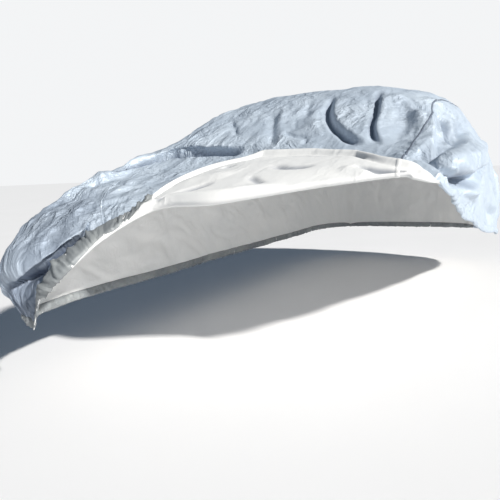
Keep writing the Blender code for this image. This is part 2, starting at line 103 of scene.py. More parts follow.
RIBS = (
    Rib(
        "crease",
        near_hem=(0.885, 0.00, 0.873),
        near_skirt=(0.855, -0.02, 0.874),
        near_belt=(0.80, -0.04, 0.888),
        near_seam=(0.735, -0.045, 0.90),
        near_brow=(0.487, -0.13, 0.875),
        crown=(0.06, -0.31, 0.817),
        far_brow=(-0.28, -0.345, 0.785),
        far_seam=(-0.40, -0.50, 0.69),
        far_belt=(-0.47, -0.68, 0.555),
        far_skirt=(-0.60, -0.705, 0.45),
        far_hem=(-0.695, -0.685, 0.295),
    ),
    Rib(
        "shelf_front",
        near_hem=(0.886, 0.05, 0.856),
        near_skirt=(0.86, 0.04, 0.876),
        near_belt=(0.81, 0.03, 0.90),
        near_seam=(0.72, 0.02, 0.93),
        near_brow=(0.48, -0.03, 0.925),
        crown=(0.04, -0.14, 0.885),
        far_brow=(-0.33, -0.17, 0.865),
        far_seam=(-0.56, -0.36, 0.82),
        far_belt=(-0.76, -0.69, 0.64),
        far_skirt=(-0.81, -0.735, 0.46),
        far_hem=(-0.77, -0.67, 0.315),
    ),
    Rib(
        "shelf_back",
        near_hem=(0.888, 0.12, 0.83),
        near_skirt=(0.87, 0.12, 0.874),
        near_belt=(0.83, 0.12, 0.915),
        near_seam=(0.71, 0.11, 0.955),
        near_brow=(0.48, 0.09, 0.96),
        crown=(0.02, 0.06, 0.95),
        far_brow=(-0.40, 0.03, 0.935),
        far_seam=(-0.68, -0.17, 0.905),
        far_belt=(-0.885, -0.58, 0.695),
        far_skirt=(-0.905, -0.64, 0.50),
        far_hem=(-0.85, -0.55, 0.31),
    ),
    Rib(
        "valley",
        near_hem=(0.89, 0.22, 0.80),
        near_skirt=(0.885, 0.22, 0.872),
        near_belt=(0.86, 0.24, 0.94),
        near_seam=(0.70, 0.27, 1.00),
        near_brow=(0.48, 0.27, 1.00),
        crown=(0.0, 0.27, 1.00),
        far_brow=(-0.46, 0.25, 0.99),
        far_seam=(-0.74, 0.10, 0.96),
        far_belt=(-0.88, -0.18, 0.915),
        far_skirt=(-0.95, -0.30, 0.60),
        far_hem=(-0.91, -0.26, 0.31),
    ),
    Rib(
        "slope_low",
        near_hem=(0.885, 0.42, 0.752),
        near_skirt=(0.895, 0.43, 0.86),
        near_belt=(0.88, 0.46, 0.97),
        near_seam=(0.71, 0.52, 1.10),
        near_brow=(0.48, 0.51, 1.13),
        crown=(0.0, 0.50, 1.14),
        far_brow=(-0.48, 0.50, 1.155),
        far_seam=(-0.73, 0.46, 1.12),
        far_belt=(-0.92, 0.30, 0.99),
        far_skirt=(-0.945, 0.22, 0.62),
        far_hem=(-0.915, 0.20, 0.31),
    ),
    Rib(
        "slope_high",
        near_hem=(0.88, 0.72, 0.665),
        near_skirt=(0.90, 0.72, 0.81),
        near_belt=(0.90, 0.74, 0.98),
        near_seam=(0.70, 0.78, 1.20),
        near_brow=(0.47, 0.77, 1.265),
        crown=(0.0, 0.76, 1.30),
        far_brow=(-0.47, 0.77, 1.315),
        far_seam=(-0.70, 0.76, 1.275),
        far_belt=(-0.93, 0.66, 1.00),
        far_skirt=(-0.935, 0.62, 0.64),
        far_hem=(-0.91, 0.60, 0.31),
    ),
    Rib(
        "roof_front",
        near_hem=(0.88, 1.02, 0.62),
        near_skirt=(0.89, 1.00, 0.77),
        near_belt=(0.88, 0.98, 0.97),
        near_seam=(0.67, 0.98, 1.285),
        near_brow=(0.45, 1.00, 1.38),
        crown=(0.0, 1.02, 1.42),
        far_brow=(-0.45, 1.00, 1.405),
        far_seam=(-0.67, 0.98, 1.335),
        far_belt=(-0.90, 0.98, 0.98),
        far_skirt=(-0.92, 1.00, 0.65),
        far_hem=(-0.90, 1.00, 0.32),
    ),
    Rib(
        "roof_top",
        near_hem=(0.87, 1.45, 0.53),
        near_skirt=(0.89, 1.42, 0.72),
        near_belt=(0.87, 1.40, 0.96),
        near_seam=(0.655, 1.40, 1.34),
        near_brow=(0.45, 1.38, 1.42),
        crown=(0.0, 1.38, 1.455),
        far_brow=(-0.45, 1.38, 1.42),
        far_seam=(-0.655, 1.40, 1.34),
        far_belt=(-0.88, 1.40, 0.97),
        far_skirt=(-0.91, 1.42, 0.65),
        far_hem=(-0.89, 1.45, 0.32),
    ),
    Rib(
        "roof_back",
        near_hem=(0.87, 1.95, 0.45),
        near_skirt=(0.885, 1.95, 0.66),
        near_belt=(0.845, 1.96, 0.95),
        near_seam=(0.655, 1.98, 1.345),
        near_brow=(0.45, 2.00, 1.40),
        crown=(0.0, 2.00, 1.44),
        far_brow=(-0.45, 2.00, 1.40),
        far_seam=(-0.65, 1.98, 1.325),
        far_belt=(-0.88, 1.96, 0.95),
        far_skirt=(-0.91, 1.95, 0.64),
        far_hem=(-0.89, 1.95, 0.32),
    ),
    Rib(
        "roof_end",
        near_hem=(0.875, 2.50, 0.385),
        near_skirt=(0.88, 2.48, 0.62),
        near_belt=(0.835, 2.47, 0.93),
        near_seam=(0.64, 2.52, 1.295),
        near_brow=(0.45, 2.58, 1.355),
        crown=(0.0, 2.60, 1.38),
        far_brow=(-0.45, 2.58, 1.355),
        far_seam=(-0.655, 2.56, 1.29),
        far_belt=(-0.885, 2.52, 0.93),
        far_skirt=(-0.905, 2.50, 0.62),
        far_hem=(-0.885, 2.50, 0.32),
    ),
    Rib(
        "tail_top",
        near_hem=(0.85, 2.85, 0.33),
        near_skirt=(0.86, 2.85, 0.62),
        near_belt=(0.81, 2.87, 0.90),
        near_seam=(0.635, 2.91, 1.155),
        near_brow=(0.42, 2.97, 1.21),
        crown=(0.0, 3.00, 1.225),
        far_brow=(-0.42, 2.97, 1.21),
        far_seam=(-0.66, 2.93, 1.16),
        far_belt=(-0.85, 2.90, 0.90),
        far_skirt=(-0.88, 2.87, 0.62),
        far_hem=(-0.86, 2.85, 0.33),
    ),
    Rib(
        "tail_high",
        near_hem=(0.81, 3.08, 0.33),
        near_skirt=(0.82, 3.10, 0.60),
        near_belt=(0.76, 3.15, 0.85),
        near_seam=(0.62, 3.20, 0.96),
        near_brow=(0.38, 3.235, 0.985),
        crown=(0.0, 3.25, 0.985),
        far_brow=(-0.38, 3.235, 0.985),
        far_seam=(-0.62, 3.20, 0.96),
        far_belt=(-0.76, 3.15, 0.85),
        far_skirt=(-0.82, 3.10, 0.60),
        far_hem=(-0.81, 3.08, 0.33),
    ),
    Rib(
        "tail_low",
        near_hem=(0.74, 3.20, 0.33),
        near_skirt=(0.72, 3.26, 0.50),
        near_belt=(0.66, 3.31, 0.62),
        near_seam=(0.55, 3.35, 0.68),
        near_brow=(0.35, 3.375, 0.70),
        crown=(0.0, 3.385, 0.70),
        far_brow=(-0.35, 3.375, 0.70),
        far_seam=(-0.55, 3.35, 0.68),
        far_belt=(-0.66, 3.31, 0.62),
        far_skirt=(-0.72, 3.26, 0.50),
        far_hem=(-0.74, 3.20, 0.33),
    ),
    Rib(
        "tail_hem",
        near_hem=(0.62, 3.29, 0.33),
        near_skirt=(0.56, 3.31, 0.33),
        near_belt=(0.50, 3.325, 0.33),
        near_seam=(0.42, 3.335, 0.33),
        near_brow=(0.28, 3.345, 0.33),
        crown=(0.0, 3.35, 0.33),
        far_brow=(-0.28, 3.345, 0.33),
        far_seam=(-0.42, 3.335, 0.33),
        far_belt=(-0.50, 3.325, 0.33),
        far_skirt=(-0.56, 3.31, 0.33),
        far_hem=(-0.62, 3.29, 0.33),
    ),
)


class TurnBack(NamedTuple):
    """How the nose lies back at one line.

    Attributes:
        line: The line.
        reach: How far back the free edge lies, counted in ribs.
        lift: How high the turned-back cloth lies above the cloth below, in metres.
    """

    line: float
    reach: float
    lift: float


TURN_BACKS = (
    TurnBack(0.0, reach=0.50, lift=0.008),
    TurnBack(1.0, reach=1.00, lift=0.012),
    TurnBack(2.0, reach=1.28, lift=0.016),
    TurnBack(3.0, reach=1.72, lift=0.020),
    TurnBack(3.4, reach=2.15, lift=0.022),
    TurnBack(4.0, reach=3.00, lift=0.028),
    TurnBack(4.5, reach=3.26, lift=0.032),
    TurnBack(5.1, reach=3.34, lift=0.034),
    TurnBack(5.4, reach=2.70, lift=0.034),
    TurnBack(5.7, reach=2.08, lift=0.032),
    TurnBack(5.85, reach=1.66, lift=0.030),
    TurnBack(5.95, reach=1.26, lift=0.028),
    TurnBack(6.05, reach=0.86, lift=0.026),
    TurnBack(6.2, reach=0.56, lift=0.024),
    TurnBack(6.4, reach=0.40, lift=0.022),
    TurnBack(6.8, reach=0.34, lift=0.022),
    TurnBack(7.0, reach=0.36, lift=0.022),
    TurnBack(7.4, reach=0.30, lift=0.022),
    TurnBack(8.0, reach=0.24, lift=0.018),
    TurnBack(9.0, reach=0.12, lift=0.010),
    TurnBack(9.3, reach=0.05, lift=0.005),
    TurnBack(10.0, reach=0.04, lift=0.004),
)


@dataclass(frozen=True)
class Fold:
    """A listed crease: a run of places and the cross-section along it.

    Places are (rib, line) on the lying cloth and (share of the reach, line) on the
    turned-back cloth. Left and right are as seen from outside by one who walks the run.

    Attributes:
        name: What the crease is.
        run: Places that the crease passes through.
        height: Height of the crest, or depth of the trough if negative, in metres.
        left: Fall-off distance to the left of the run, in metres.
        right: Fall-off distance to the right of the run, in metres.
        lean: How far the crest is pushed to the left, in metres.
        fade: Share of the run over which the crease rises at each end.
        shade: How much painted shade, a darker tone, is mixed in at the bottom, from 0 to 1.
    """

    name: str
    run: tuple[Place, ...]
    height: float
    left: float
    right: float
    lean: float = 0.0
    fade: float = 0.3
    shade: float = 0.0


@dataclass(frozen=True)
class Wrinkles:
    """Small sharp creases over a part of the cover, in one main direction.

    Attributes:
        name: Where they lie.
        centre: Middle of the part, a (rib, line) place.
        spread: Half size of the part along and across the cover, in metres.
        heading: Direction of the creases, in degrees from across towards along.
        pitch: Usual distance from one crease to the next, in metres.
        stretch: Length of a crease, in pitches.
        height: Height of the creases, in metres.
    """

    name: str
    centre: Place
    spread: tuple[float, float]
    heading: float
    pitch: float
    stretch: float
    height: float


# Folds with a shade value also paint shade into the cloth's colour along their troughs.
SLOPE_FOLDS = (
    Fold("hook_ridge", ((5.55, 4.66), (5.0, 4.60), (4.55, 4.52), (4.1, 4.36), (3.75, 4.17), (3.4, 3.88)),
         height=0.028, left=0.110, right=0.016, lean=-0.006, fade=0.20),
    Fold("hook_trough", ((5.70, 4.77), (5.20, 4.73), (4.80, 4.68), (4.40, 4.58), (4.00, 4.42),
                         (3.70, 4.27), (3.40, 4.05)),
         height=-0.034, left=0.012, right=0.019, fade=0.18, shade=0.40),
    Fold("hook_back", ((5.0, 4.82), (4.6, 4.79), (4.1, 4.66), (3.7, 4.52)),
         height=0.014, left=0.014, right=0.050),
    Fold("pleat_ridge", ((5.85, 4.08), (5.2, 4.07), (4.6, 4.01), (4.1, 3.94), (3.7, 3.82), (3.35, 3.56)),
         height=0.026, left=0.090, right=0.012, lean=-0.004, fade=0.20),
    Fold("pleat_trough", ((5.90, 4.17), (5.30, 4.14), (4.75, 4.09), (4.20, 4.05), (3.80, 3.97),
                          (3.50, 3.78)),
         height=-0.022, left=0.012, right=0.017, fade=0.18, shade=0.55),
    Fold("arc_ridge", ((5.65, 4.05), (5.45, 3.80), (5.05, 3.48), (4.6, 3.27), (4.1, 3.20)),
         height=0.026, left=0.028, right=0.060),
    Fold("arc_trough", ((5.50, 3.90), (5.20, 3.68), (4.70, 3.50), (4.10, 3.44), (3.50, 3.44)),
         height=-0.024, left=0.050, right=0.045, shade=0.20),
    Fold("pinch", ((4.80, 5.38), (4.26, 5.25), (3.55, 5.10)),
         height=-0.015, left=0.010, right=0.026, fade=0.15),
    Fold("pinch_ridge", ((4.85, 5.30), (4.3, 5.17), (3.6, 5.02)),
         height=0.010, left=0.040, right=0.012, fade=0.15),
    Fold("pinch_left", ((4.27, 5.34), (3.86, 5.36), (3.5, 5.42)),
         height=0.009, left=0.012, right=0.030),
    Fold("shelf_tuck", ((4.10, 5.07), (3.94, 4.89), (3.84, 4.72)),
         height=-0.013, left=0.008, right=0.020, fade=0.15),
    Fold("shelf_tuck_end", ((3.87, 4.72), (3.72, 4.72), (3.60, 4.71)),
         height=-0.011, left=0.008, right=0.014),
    Fold("far_tuck", ((4.62, 5.95), (4.30, 5.79), (3.98, 5.66)),
         height=-0.014, left=0.010, right=0.022, fade=0.2),
    Fold("valley_groove", ((3.14, 7.70), (3.36, 7.52), (3.56, 7.20), (3.62, 6.80), (3.58, 6.40),
                           (3.50, 5.80), (3.45, 5.40)),
         height=-0.062, left=0.026, right=0.028, fade=0.14, shade=0.45),
    Fold("valley_lip", ((3.45, 7.62), (3.68, 7.45), (3.82, 7.1), (3.85, 6.7), (3.80, 6.3), (3.70, 5.8),
                        (3.62, 5.4)),
         height=0.020, left=0.060, right=0.020, lean=-0.034, fade=0.16),
    Fold("slope_sweep_low", ((3.75, 6.50), (4.1, 6.15), (4.5, 5.95)),
         height=0.014, left=0.022, right=0.045),
    Fold("slope_sweep_middle", ((3.9, 6.9), (4.6, 6.45), (5.3, 6.15), (5.9, 6.0)),
         height=0.013, left=0.022, right=0.050),
    Fold("slope_sweep_high", ((4.3, 7.1), (4.9, 6.8), (5.6, 6.45)),
         height=0.012, left=0.022, right=0.045),
    Fold("slope_crook", ((5.4, 5.04), (4.9, 4.96), (4.45, 4.90)),
         height=-0.012, left=0.016, right=0.028),
)

# Folds with a shade value also paint shade into the cloth's colour: darkest in the slot under the brow
# and on the panel below it.
WING_FOLDS = (
    Fold("wing_slot", ((0.90, 8.90), (0.62, 8.42), (0.50, 8.10), (0.46, 7.85), (0.44, 7.60),
                       (0.47, 7.40), (0.58, 7.20)),
         height=-0.060, left=0.012, right=0.030, fade=0.15, shade=0.95),
    Fold("wing_brow", ((1.05, 8.80), (0.84, 8.40), (0.70, 8.10), (0.62, 7.88), (0.57, 7.65),
                       (0.56, 7.45), (0.62, 7.28), (0.76, 7.12)),
         height=0.020, left=0.060, right=0.014, lean=-0.056, fade=0.18),
    Fold("wing_under", ((0.95, 9.05), (0.55, 8.55), (0.38, 8.20), (0.32, 7.92)),
         height=-0.070, left=0.060, right=0.050, fade=0.25, shade=0.62),
    Fold("wing_low_panel", ((1.30, 8.95), (0.85, 9.10), (0.45, 9.15), (0.26, 8.70)),
         height=-0.026, left=0.100, right=0.110, fade=0.20, shade=0.66),
    # This fold has no height: it only paints shade, mixing up to 38 percent of the darker colour into the
    # whole wing.
    Fold("wing_painted_shade", ((3.0, 8.0), (2.2, 7.65), (1.4, 7.60), (1.0, 7.90), (0.95, 8.60)),
         height=0.0, left=0.210, right=0.210, fade=0.25, shade=0.38),
    Fold("wing_crest", ((2.20, 8.10), (1.90, 7.75), (1.50, 7.40)),
         height=0.014, left=0.060, right=0.045),
    Fold("wing_hollow", ((2.6, 7.75), (2.2, 7.45), (1.7, 7.15), (1.2, 6.95)),
         height=-0.018, left=0.035, right=0.035),
    Fold("wing_step", ((2.7, 7.85), (2.45, 7.45), (1.95, 7.12)),
         height=0.014, left=0.022, right=0.035),
    Fold("wing_lens", ((2.34, 7.06), (1.90, 6.74), (1.80, 6.48)),
         height=-0.014, left=0.016, right=0.026),
    Fold("wing_wave_low", ((0.98, 7.42), (1.00, 7.28), (1.10, 7.10)),
         height=0.009, left=0.022, right=0.034),
    Fold("wing_wave_side", ((0.82, 7.95), (0.90, 7.68), (1.04, 7.46)),
         height=0.010, left=0.024, right=0.034),
    Fold("wing_wave_drop", ((1.25, 7.20), (0.98, 7.22), (0.72, 7.30)),
         height=0.008, left=0.016, right=0.030),
    Fold("wing_crease_near", ((0.85, 7.02), (1.00, 6.80), (1.05, 6.58)),
         height=-0.014, left=0.014, right=0.024),
    Fold("wing_crease_high", ((1.41, 6.92), (1.54, 6.67), (1.63, 6.38)),
         height=-0.010, left=0.012, right=0.022),
    Fold("far_bump", ((2.86, 7.60), (2.94, 7.42)),
         height=0.030, left=0.036, right=0.030, fade=0.5),
    Fold("far_bump_shade", ((2.66, 7.55), (2.72, 7.38)),
         height=-0.022, left=0.026, right=0.022, fade=0.4),
)

# Folds with a shade value also paint shade into the cloth's colour, in the valley and pocket of the ear
# and along the near hollow.
DRAPE_FOLDS = (
    Fold("ear_tip", ((7.20, 2.20), (8.00, 2.26), (8.70, 2.32), (9.30, 2.36)),
         height=0.030, left=0.050, right=0.050, fade=0.4),
    Fold("ear_valley", ((2.30, 2.45), (3.00, 2.44), (3.60, 2.36), (4.60, 2.36), (6.00, 2.42),
                        (7.60, 2.48)),
         height=-0.040, left=0.045, right=0.018, fade=0.12, shade=0.15),
    Fold("ear_top", ((2.40, 2.12), (3.20, 1.95), (4.20, 2.00), (5.50, 2.10), (7.00, 2.20)),
         height=0.034, left=0.070, right=0.060, fade=0.2),
    Fold("ear_front", ((2.10, 2.02), (2.50, 1.68), (3.10, 1.48), (3.60, 1.45), (4.30, 1.66),
                       (5.20, 1.88), (6.40, 2.05), (7.40, 2.14)),
         height=0.050, left=0.090, right=0.012, lean=-0.022, fade=0.12),
    Fold("ear_pocket", ((2.60, 1.60), (3.10, 1.34), (3.70, 1.22), (4.50, 1.24), (5.10, 1.35)),
         height=-0.070, left=0.016, right=0.040, fade=0.25, shade=0.50),
    Fold("pocket_lip", ((2.40, 0.95), (3.00, 0.78), (4.00, 0.88), (4.60, 1.08)),
         height=0.014, left=0.020, right=0.060),
    Fold("drape_ridge", ((7.40, 2.02), (6.40, 1.76), (5.40, 1.43), (4.85, 1.12), (4.40, 0.84)),
         height=0.036, left=0.060, right=0.014, lean=0.008, fade=0.15),
    Fold("drape_ridge_low", ((4.35, 0.86), (5.2, 0.92), (6.2, 0.95)),
         height=0.026, left=0.060, right=0.020, fade=0.25),
    Fold("drape_facet", ((6.60, 1.62), (6.80, 1.35), (6.40, 1.12)),
         height=-0.022, left=0.080, right=0.060),
    Fold("drape_dimple", ((7.00, 0.92), (7.80, 0.76), (8.80, 0.50)),
         height=-0.030, left=0.034, right=0.055),
    Fold("shoulder_hollow", ((8.20, 2.95), (8.60, 2.70), (8.90, 2.50)),
         height=-0.050, left=0.075, right=0.075, fade=0.35),
    Fold("drape_edge", ((2.55, 3.35), (2.1, 3.02), (1.75, 2.60), (1.6, 2.2), (1.4, 1.5), (1.2, 0.9)),
         height=0.030, left=0.014, right=0.050, lean=0.014, fade=0.12),
    Fold("near_white", ((5.10, 3.05), (4.40, 2.90), (3.70, 2.70), (2.95, 2.44)),
         height=0.032, left=0.014, right=0.070, fade=0.15),
    Fold("near_shade", ((5.90, 2.84), (5.20, 2.72), (4.70, 2.56), (4.35, 2.40)),
         height=-0.058, left=0.042, right=0.026, fade=0.2, shade=0.32),
    Fold("near_ridge", ((6.00, 2.64), (5.40, 2.58), (5.00, 2.48)),
         height=0.012, left=0.050, right=0.014, fade=0.2),
    Fold("side_ridge", ((5.9, 3.08), (6.38, 2.80), (6.84, 2.58), (7.2, 2.40)),
         height=0.022, left=0.050, right=0.012, lean=-0.006),
    Fold("side_trough", ((6.20, 2.98), (6.70, 2.76), (7.20, 2.60), (8.00, 2.50)),
         height=-0.030, left=0.018, right=0.040),
    Fold("belt_hollow", ((9.0, 2.15), (9.5, 1.90), (9.9, 1.60)),
         height=-0.045, left=0.120, right=0.120, fade=0.4),
    Fold("near_side_rear", ((8.3, 1.9), (8.9, 1.2), (9.3, 0.6)),
         height=-0.026, left=0.080, right=0.100),
    Fold("near_side_sweep", ((7.6, 1.7), (8.4, 1.0), (8.8, 0.5)),
         height=0.018, left=0.070, right=0.060),
    Fold("near_tail_drop", ((9.6, 2.4), (9.9, 1.4), (10.1, 0.5)),
         height=0.020, left=0.050, right=0.070),
)

FAR_AND_REAR_FOLDS = (
    Fold("far_ear", ((4.3, 7.95), (4.9, 7.98), (5.5, 8.0)),
         height=0.062, left=0.100, right=0.060, fade=0.5),
    Fold("far_side_upper", ((5.0, 8.50), (5.9, 8.80), (6.8, 9.30)),
         height=-0.030, left=0.050, right=0.080),
    Fold("far_side_middle", ((6.4, 8.20), (7.2, 8.70), (8.0, 9.40)),
         height=-0.032, left=0.060, right=0.090),
    Fold("far_side_crest", ((6.9, 8.20), (7.7, 8.80), (8.4, 9.50)),
         height=0.024, left=0.040, right=0.060),
    Fold("far_side_rear", ((8.5, 8.40), (9.0, 9.00), (9.4, 9.70)),
         height=-0.028, left=0.060, right=0.080),
    Fold("far_front_drop", ((3.4, 8.3), (3.2, 9.0), (3.0, 9.7)),
         height=-0.026, left=0.040, right=0.060),
    Fold("far_front_crest", ((2.9, 8.3), (2.6, 8.9), (2.4, 9.6)),
         height=0.022, left=0.040, right=0.050),
    Fold("roof_slack", ((7.2, 4.20), (8.0, 4.9), (8.7, 5.70)),
         height=-0.014, left=0.060, right=0.090),
    Fold("roof_slack_far", ((7.0, 6.4), (7.9, 5.8), (8.8, 5.2)),
         height=0.012, left=0.050, right=0.080),
    Fold("tail_sag_near", ((9.8, 4.30), (10.7, 4.0), (11.7, 3.60)),
         height=-0.028, left=0.060, right=0.090),
    Fold("tail_sag_far", ((9.9, 5.70), (10.8, 6.1), (11.8, 6.40)),
         height=-0.028, left=0.090, right=0.060),
    Fold("tail_crest", ((10.3, 5.0), (11.0, 4.9), (11.9, 5.1)),
         height=0.018, left=0.060, right=0.070),
    Fold("tail_tuck_near", ((11.6, 3.3), (12.2, 2.6), (12.6, 1.8)),
         height=-0.018, left=0.040, right=0.050),
    Fold("tail_tuck_far", ((11.6, 6.8), (12.2, 7.5), (12.6, 8.3)),
         height=-0.018, left=0.050, right=0.040),
)

# Folds with a shade value also paint shade into the colour of the turned-back cloth along their creases.
TURNED_FOLDS = (
    Fold("edge_groove", ((0.90, 4.95), (0.84, 4.57), (0.83, 4.26), (0.86, 3.85), (0.90, 3.40)),
         height=-0.012, left=0.010, right=0.016, shade=0.35),
    Fold("middle_lens", ((0.55, 4.75), (0.44, 4.50), (0.42, 4.20)),
         height=-0.020, left=0.018, right=0.022, shade=0.60),
    Fold("near_lens", ((0.42, 3.75), (0.28, 3.45), (0.14, 3.10), (0.06, 2.70)),
         height=-0.022, left=0.014, right=0.022, shade=0.60),
    Fold("near_lens_ridge", ((0.34, 3.95), (0.22, 3.65), (0.10, 3.35)),
         height=0.014, left=0.026, right=0.030),
    Fold("notch", ((0.74, 5.42), (0.64, 5.20)),
         height=-0.024, left=0.018, right=0.016, fade=0.4, shade=0.80),
    Fold("small_wrinkle", ((0.34, 4.84), (0.22, 4.70), (0.10, 4.58)),
         height=-0.014, left=0.010, right=0.018, shade=0.50),
    Fold("front_roll", ((0.04, 4.3), (0.05, 4.9), (0.06, 5.5), (0.08, 6.0), (0.14, 6.4)),
         height=0.020, left=0.035, right=0.030, fade=0.2),
    Fold("front_lens", ((0.30, 5.20), (0.23, 5.42), (0.16, 5.62), (0.09, 5.78), (0.03, 5.92)),
         height=-0.028, left=0.016, right=0.026, fade=0.22, shade=0.68),
    Fold("middle_lift", ((0.42, 5.0), (0.50, 5.5), (0.56, 5.9)),
         height=0.012, left=0.050, right=0.050),
)

WRINKLES = (
    Wrinkles("slope_far", (4.6, 6.35), (0.40, 0.32),
             heading=114.0, pitch=0.042, stretch=4.5, height=0.0070),
    Wrinkles("slope_foot", (3.9, 6.3), (0.10, 0.28),
             heading=122.0, pitch=0.050, stretch=3.0, height=0.0080),
    Wrinkles("slope_middle", (5.05, 5.45), (0.24, 0.22),
             heading=95.0, pitch=0.032, stretch=2.0, height=0.0060),
    Wrinkles("slope_crook", (4.6, 4.85), (0.22, 0.12),
             heading=70.0, pitch=0.034, stretch=2.0, height=0.0055),
    Wrinkles("slope_near", (4.5, 4.1), (0.30, 0.30),
             heading=80.0, pitch=0.060, stretch=3.0, height=0.0050),
    Wrinkles("slope_bottom", (3.7, 5.0), (0.06, 0.40),
             heading=10.0, pitch=0.026, stretch=3.0, height=0.0045),
    Wrinkles("shelf_far", (2.7, 6.6), (0.14, 0.36),
             heading=150.0, pitch=0.032, stretch=3.5, height=0.0050),
    Wrinkles("wing_long", (1.1, 7.6), (0.34, 0.40),
             heading=135.0, pitch=0.036, stretch=2.4, height=0.0085),
    Wrinkles("wing_cross", (1.2, 7.3), (0.26, 0.34),
             heading=72.0, pitch=0.030, stretch=1.8, height=0.0060),
    Wrinkles("wing_low", (0.5, 8.7), (0.20, 0.30),
             heading=150.0, pitch=0.044, stretch=2.2, height=0.0045),
    Wrinkles("drape_long", (3.6, 1.5), (0.60, 0.38),
             heading=112.0, pitch=0.070, stretch=3.0, height=0.0090),
    Wrinkles("drape_cross", (5.0, 1.0), (0.80, 0.34),
             heading=60.0, pitch=0.050, stretch=2.0, height=0.0060),
    Wrinkles("side_shade", (6.2, 2.7), (0.36, 0.12),
             heading=112.0, pitch=0.030, stretch=3.0, height=0.0045),
    Wrinkles("seam_pucker", (4.0, 3.14), (0.36, 0.05),
             heading=172.0, pitch=0.022, stretch=2.4, height=0.0045),
    Wrinkles("far_side", (6.5, 8.9), (1.70, 0.45),
             heading=65.0, pitch=0.085, stretch=2.6, height=0.0140),
    Wrinkles("far_front", (3.0, 8.8), (0.45, 0.40),
             heading=80.0, pitch=0.070, stretch=2.4, height=0.0120),
    Wrinkles("near_side", (8.8, 1.5), (0.95, 0.50),
             heading=110.0, pitch=0.085, stretch=2.6, height=0.0140),
    Wrinkles("roof", (7.5, 5.0), (0.95, 0.60),
             heading=85.0, pitch=0.060, stretch=3.0, height=0.0050),
    Wrinkles("tail", (11.0, 5.0), (0.60, 0.70),
             heading=20.0, pitch=0.080, stretch=2.4, height=0.0120),
)


class Taut(NamedTuple):
    """A part of the cover that is pulled taut, so that the crumpling is weaker there.

    Attributes:
        rib: Rib place of its middle.
        line: Line place of its middle.
        ribs_spread: How far it spreads along the cover, in ribs.
        lines_spread: How far it spreads across the cover, in lines.
        share: Share of the crumpling that is gone at its middle.
    """

    rib: float
    line: float
    ribs_spread: float
    lines_spread: float
    share: float


TAUT_PARTS = (
    Taut(4.6, 4.1, ribs_spread=1.2, lines_spread=1.0, share=0.80),
    Taut(4.6, 5.6, ribs_spread=1.2, lines_spread=1.2, share=0.50),
    Taut(7.5, 5.0, ribs_spread=2.2, lines_spread=1.8, share=0.70),
    Taut(4.4, 2.6, ribs_spread=1.6, lines_spread=0.5, share=0.70),
    Taut(4.0, 1.9, ribs_spread=1.6, lines_spread=0.5, share=0.60),
    Taut(6.5, 1.4, ribs_spread=1.6, lines_spread=0.7, share=0.60),
    Taut(2.6, 0.9, ribs_spread=1.4, lines_spread=1.2, share=0.75),
    Taut(1.0, 7.6, ribs_spread=1.2, lines_spread=0.9, share=0.50),
)


def smooth_through(points: np.ndarray, places: np.ndarray) -> np.ndarray:
    """Smooth curve through points, read at fractional places along the first axis.

    The slope at each point weighs its two spans by their length, so that a short span
    beside a long one doesn't bulge.

    Args:
        points: Array whose first axis runs along the curve.
        places: Fractional indices along that axis.

    Returns:
        The points at those places.
    """
    steps = points[1:] - points[:-1]
    lengths = np.linalg.norm(steps, axis=-1)
    while lengths.ndim > 1:
        lengths = lengths.mean(axis=-1)
    spans = lengths.reshape((-1,) + (1,) * (points.ndim - 1))
    rates = steps / spans
    slopes = np.empty_like(points)
    slopes[0] = rates[0]
    slopes[-1] = rates[-1]
    slopes[1:-1] = (rates[:-1] * spans[1:] + rates[1:] * spans[:-1]) / (spans[1:] + spans[:-1])
    index = np.minimum(places.astype(int), len(points) - 2)
    t = (places - index).reshape((-1,) + (1,) * (points.ndim - 1))
    span = spans[index]
    return (
        (1.0 - t) ** 2 * (1.0 + 2.0 * t) * points[index]
        + t * (1.0 - t) ** 2 * span * slopes[index]
        + t * t * (3.0 - 2.0 * t) * points[index + 1]
        - t * t * (1.0 - t) * span * slopes[index + 1]
    )


def spread_places(steps: tuple[int, ...]) -> np.ndarray:
    """Fractional places along a row of intervals, each cut into its own number of steps."""
    places = [interval + step / count for interval, count in enumerate(steps) for step in range(count)]
    return np.array(places + [float(len(steps))])


def unit(vectors: np.ndarray) -> np.ndarray:
    """The vectors along the last axis, scaled to length 1."""
    return vectors / np.maximum(np.linalg.norm(vectors, axis=-1, keepdims=True), 1e-12)


SWELL_SLOPES = 64  # size of the table of random slopes that swells are drawn from
SWELL_GAIN = 1.5  # brings the swells to heights of about -1 to 1


def swell(places: np.ndarray, seed: int) -> np.ndarray:
    """Smooth random heights from about -1 to 1, with swells about one unit apart.

    Args:
        places: Two-dimensional places along the last axis.
        seed: Seed of the random slopes.

    Returns:
        The height at every place.
    """
    slopes = unit(np.random.default_rng(seed).normal(size=(SWELL_SLOPES, SWELL_SLOPES, 2)))
    cell = np.floor(places).astype(int)
    within = places - cell
    blend = within**3 * (within * (6.0 * within - 15.0) + 10.0)
    height = np.zeros(places.shape[:-1])
    for i in (0, 1):
        for j in (0, 1):
            slope = slopes[(cell[..., 0] + i) % SWELL_SLOPES, (cell[..., 1] + j) % SWELL_SLOPES]
            weight = np.abs(1 - i - blend[..., 0]) * np.abs(1 - j - blend[..., 1])
            height += weight * (slope * (within - np.array((i, j)))).sum(axis=-1)
    return SWELL_GAIN * height


def ease(value: np.ndarray) -> np.ndarray:
    """Smooth step from 0 to 1 as value goes from 0 to 1."""
    share = np.clip(value, 0.0, 1.0)
    return share * share * (3.0 - 2.0 * share)


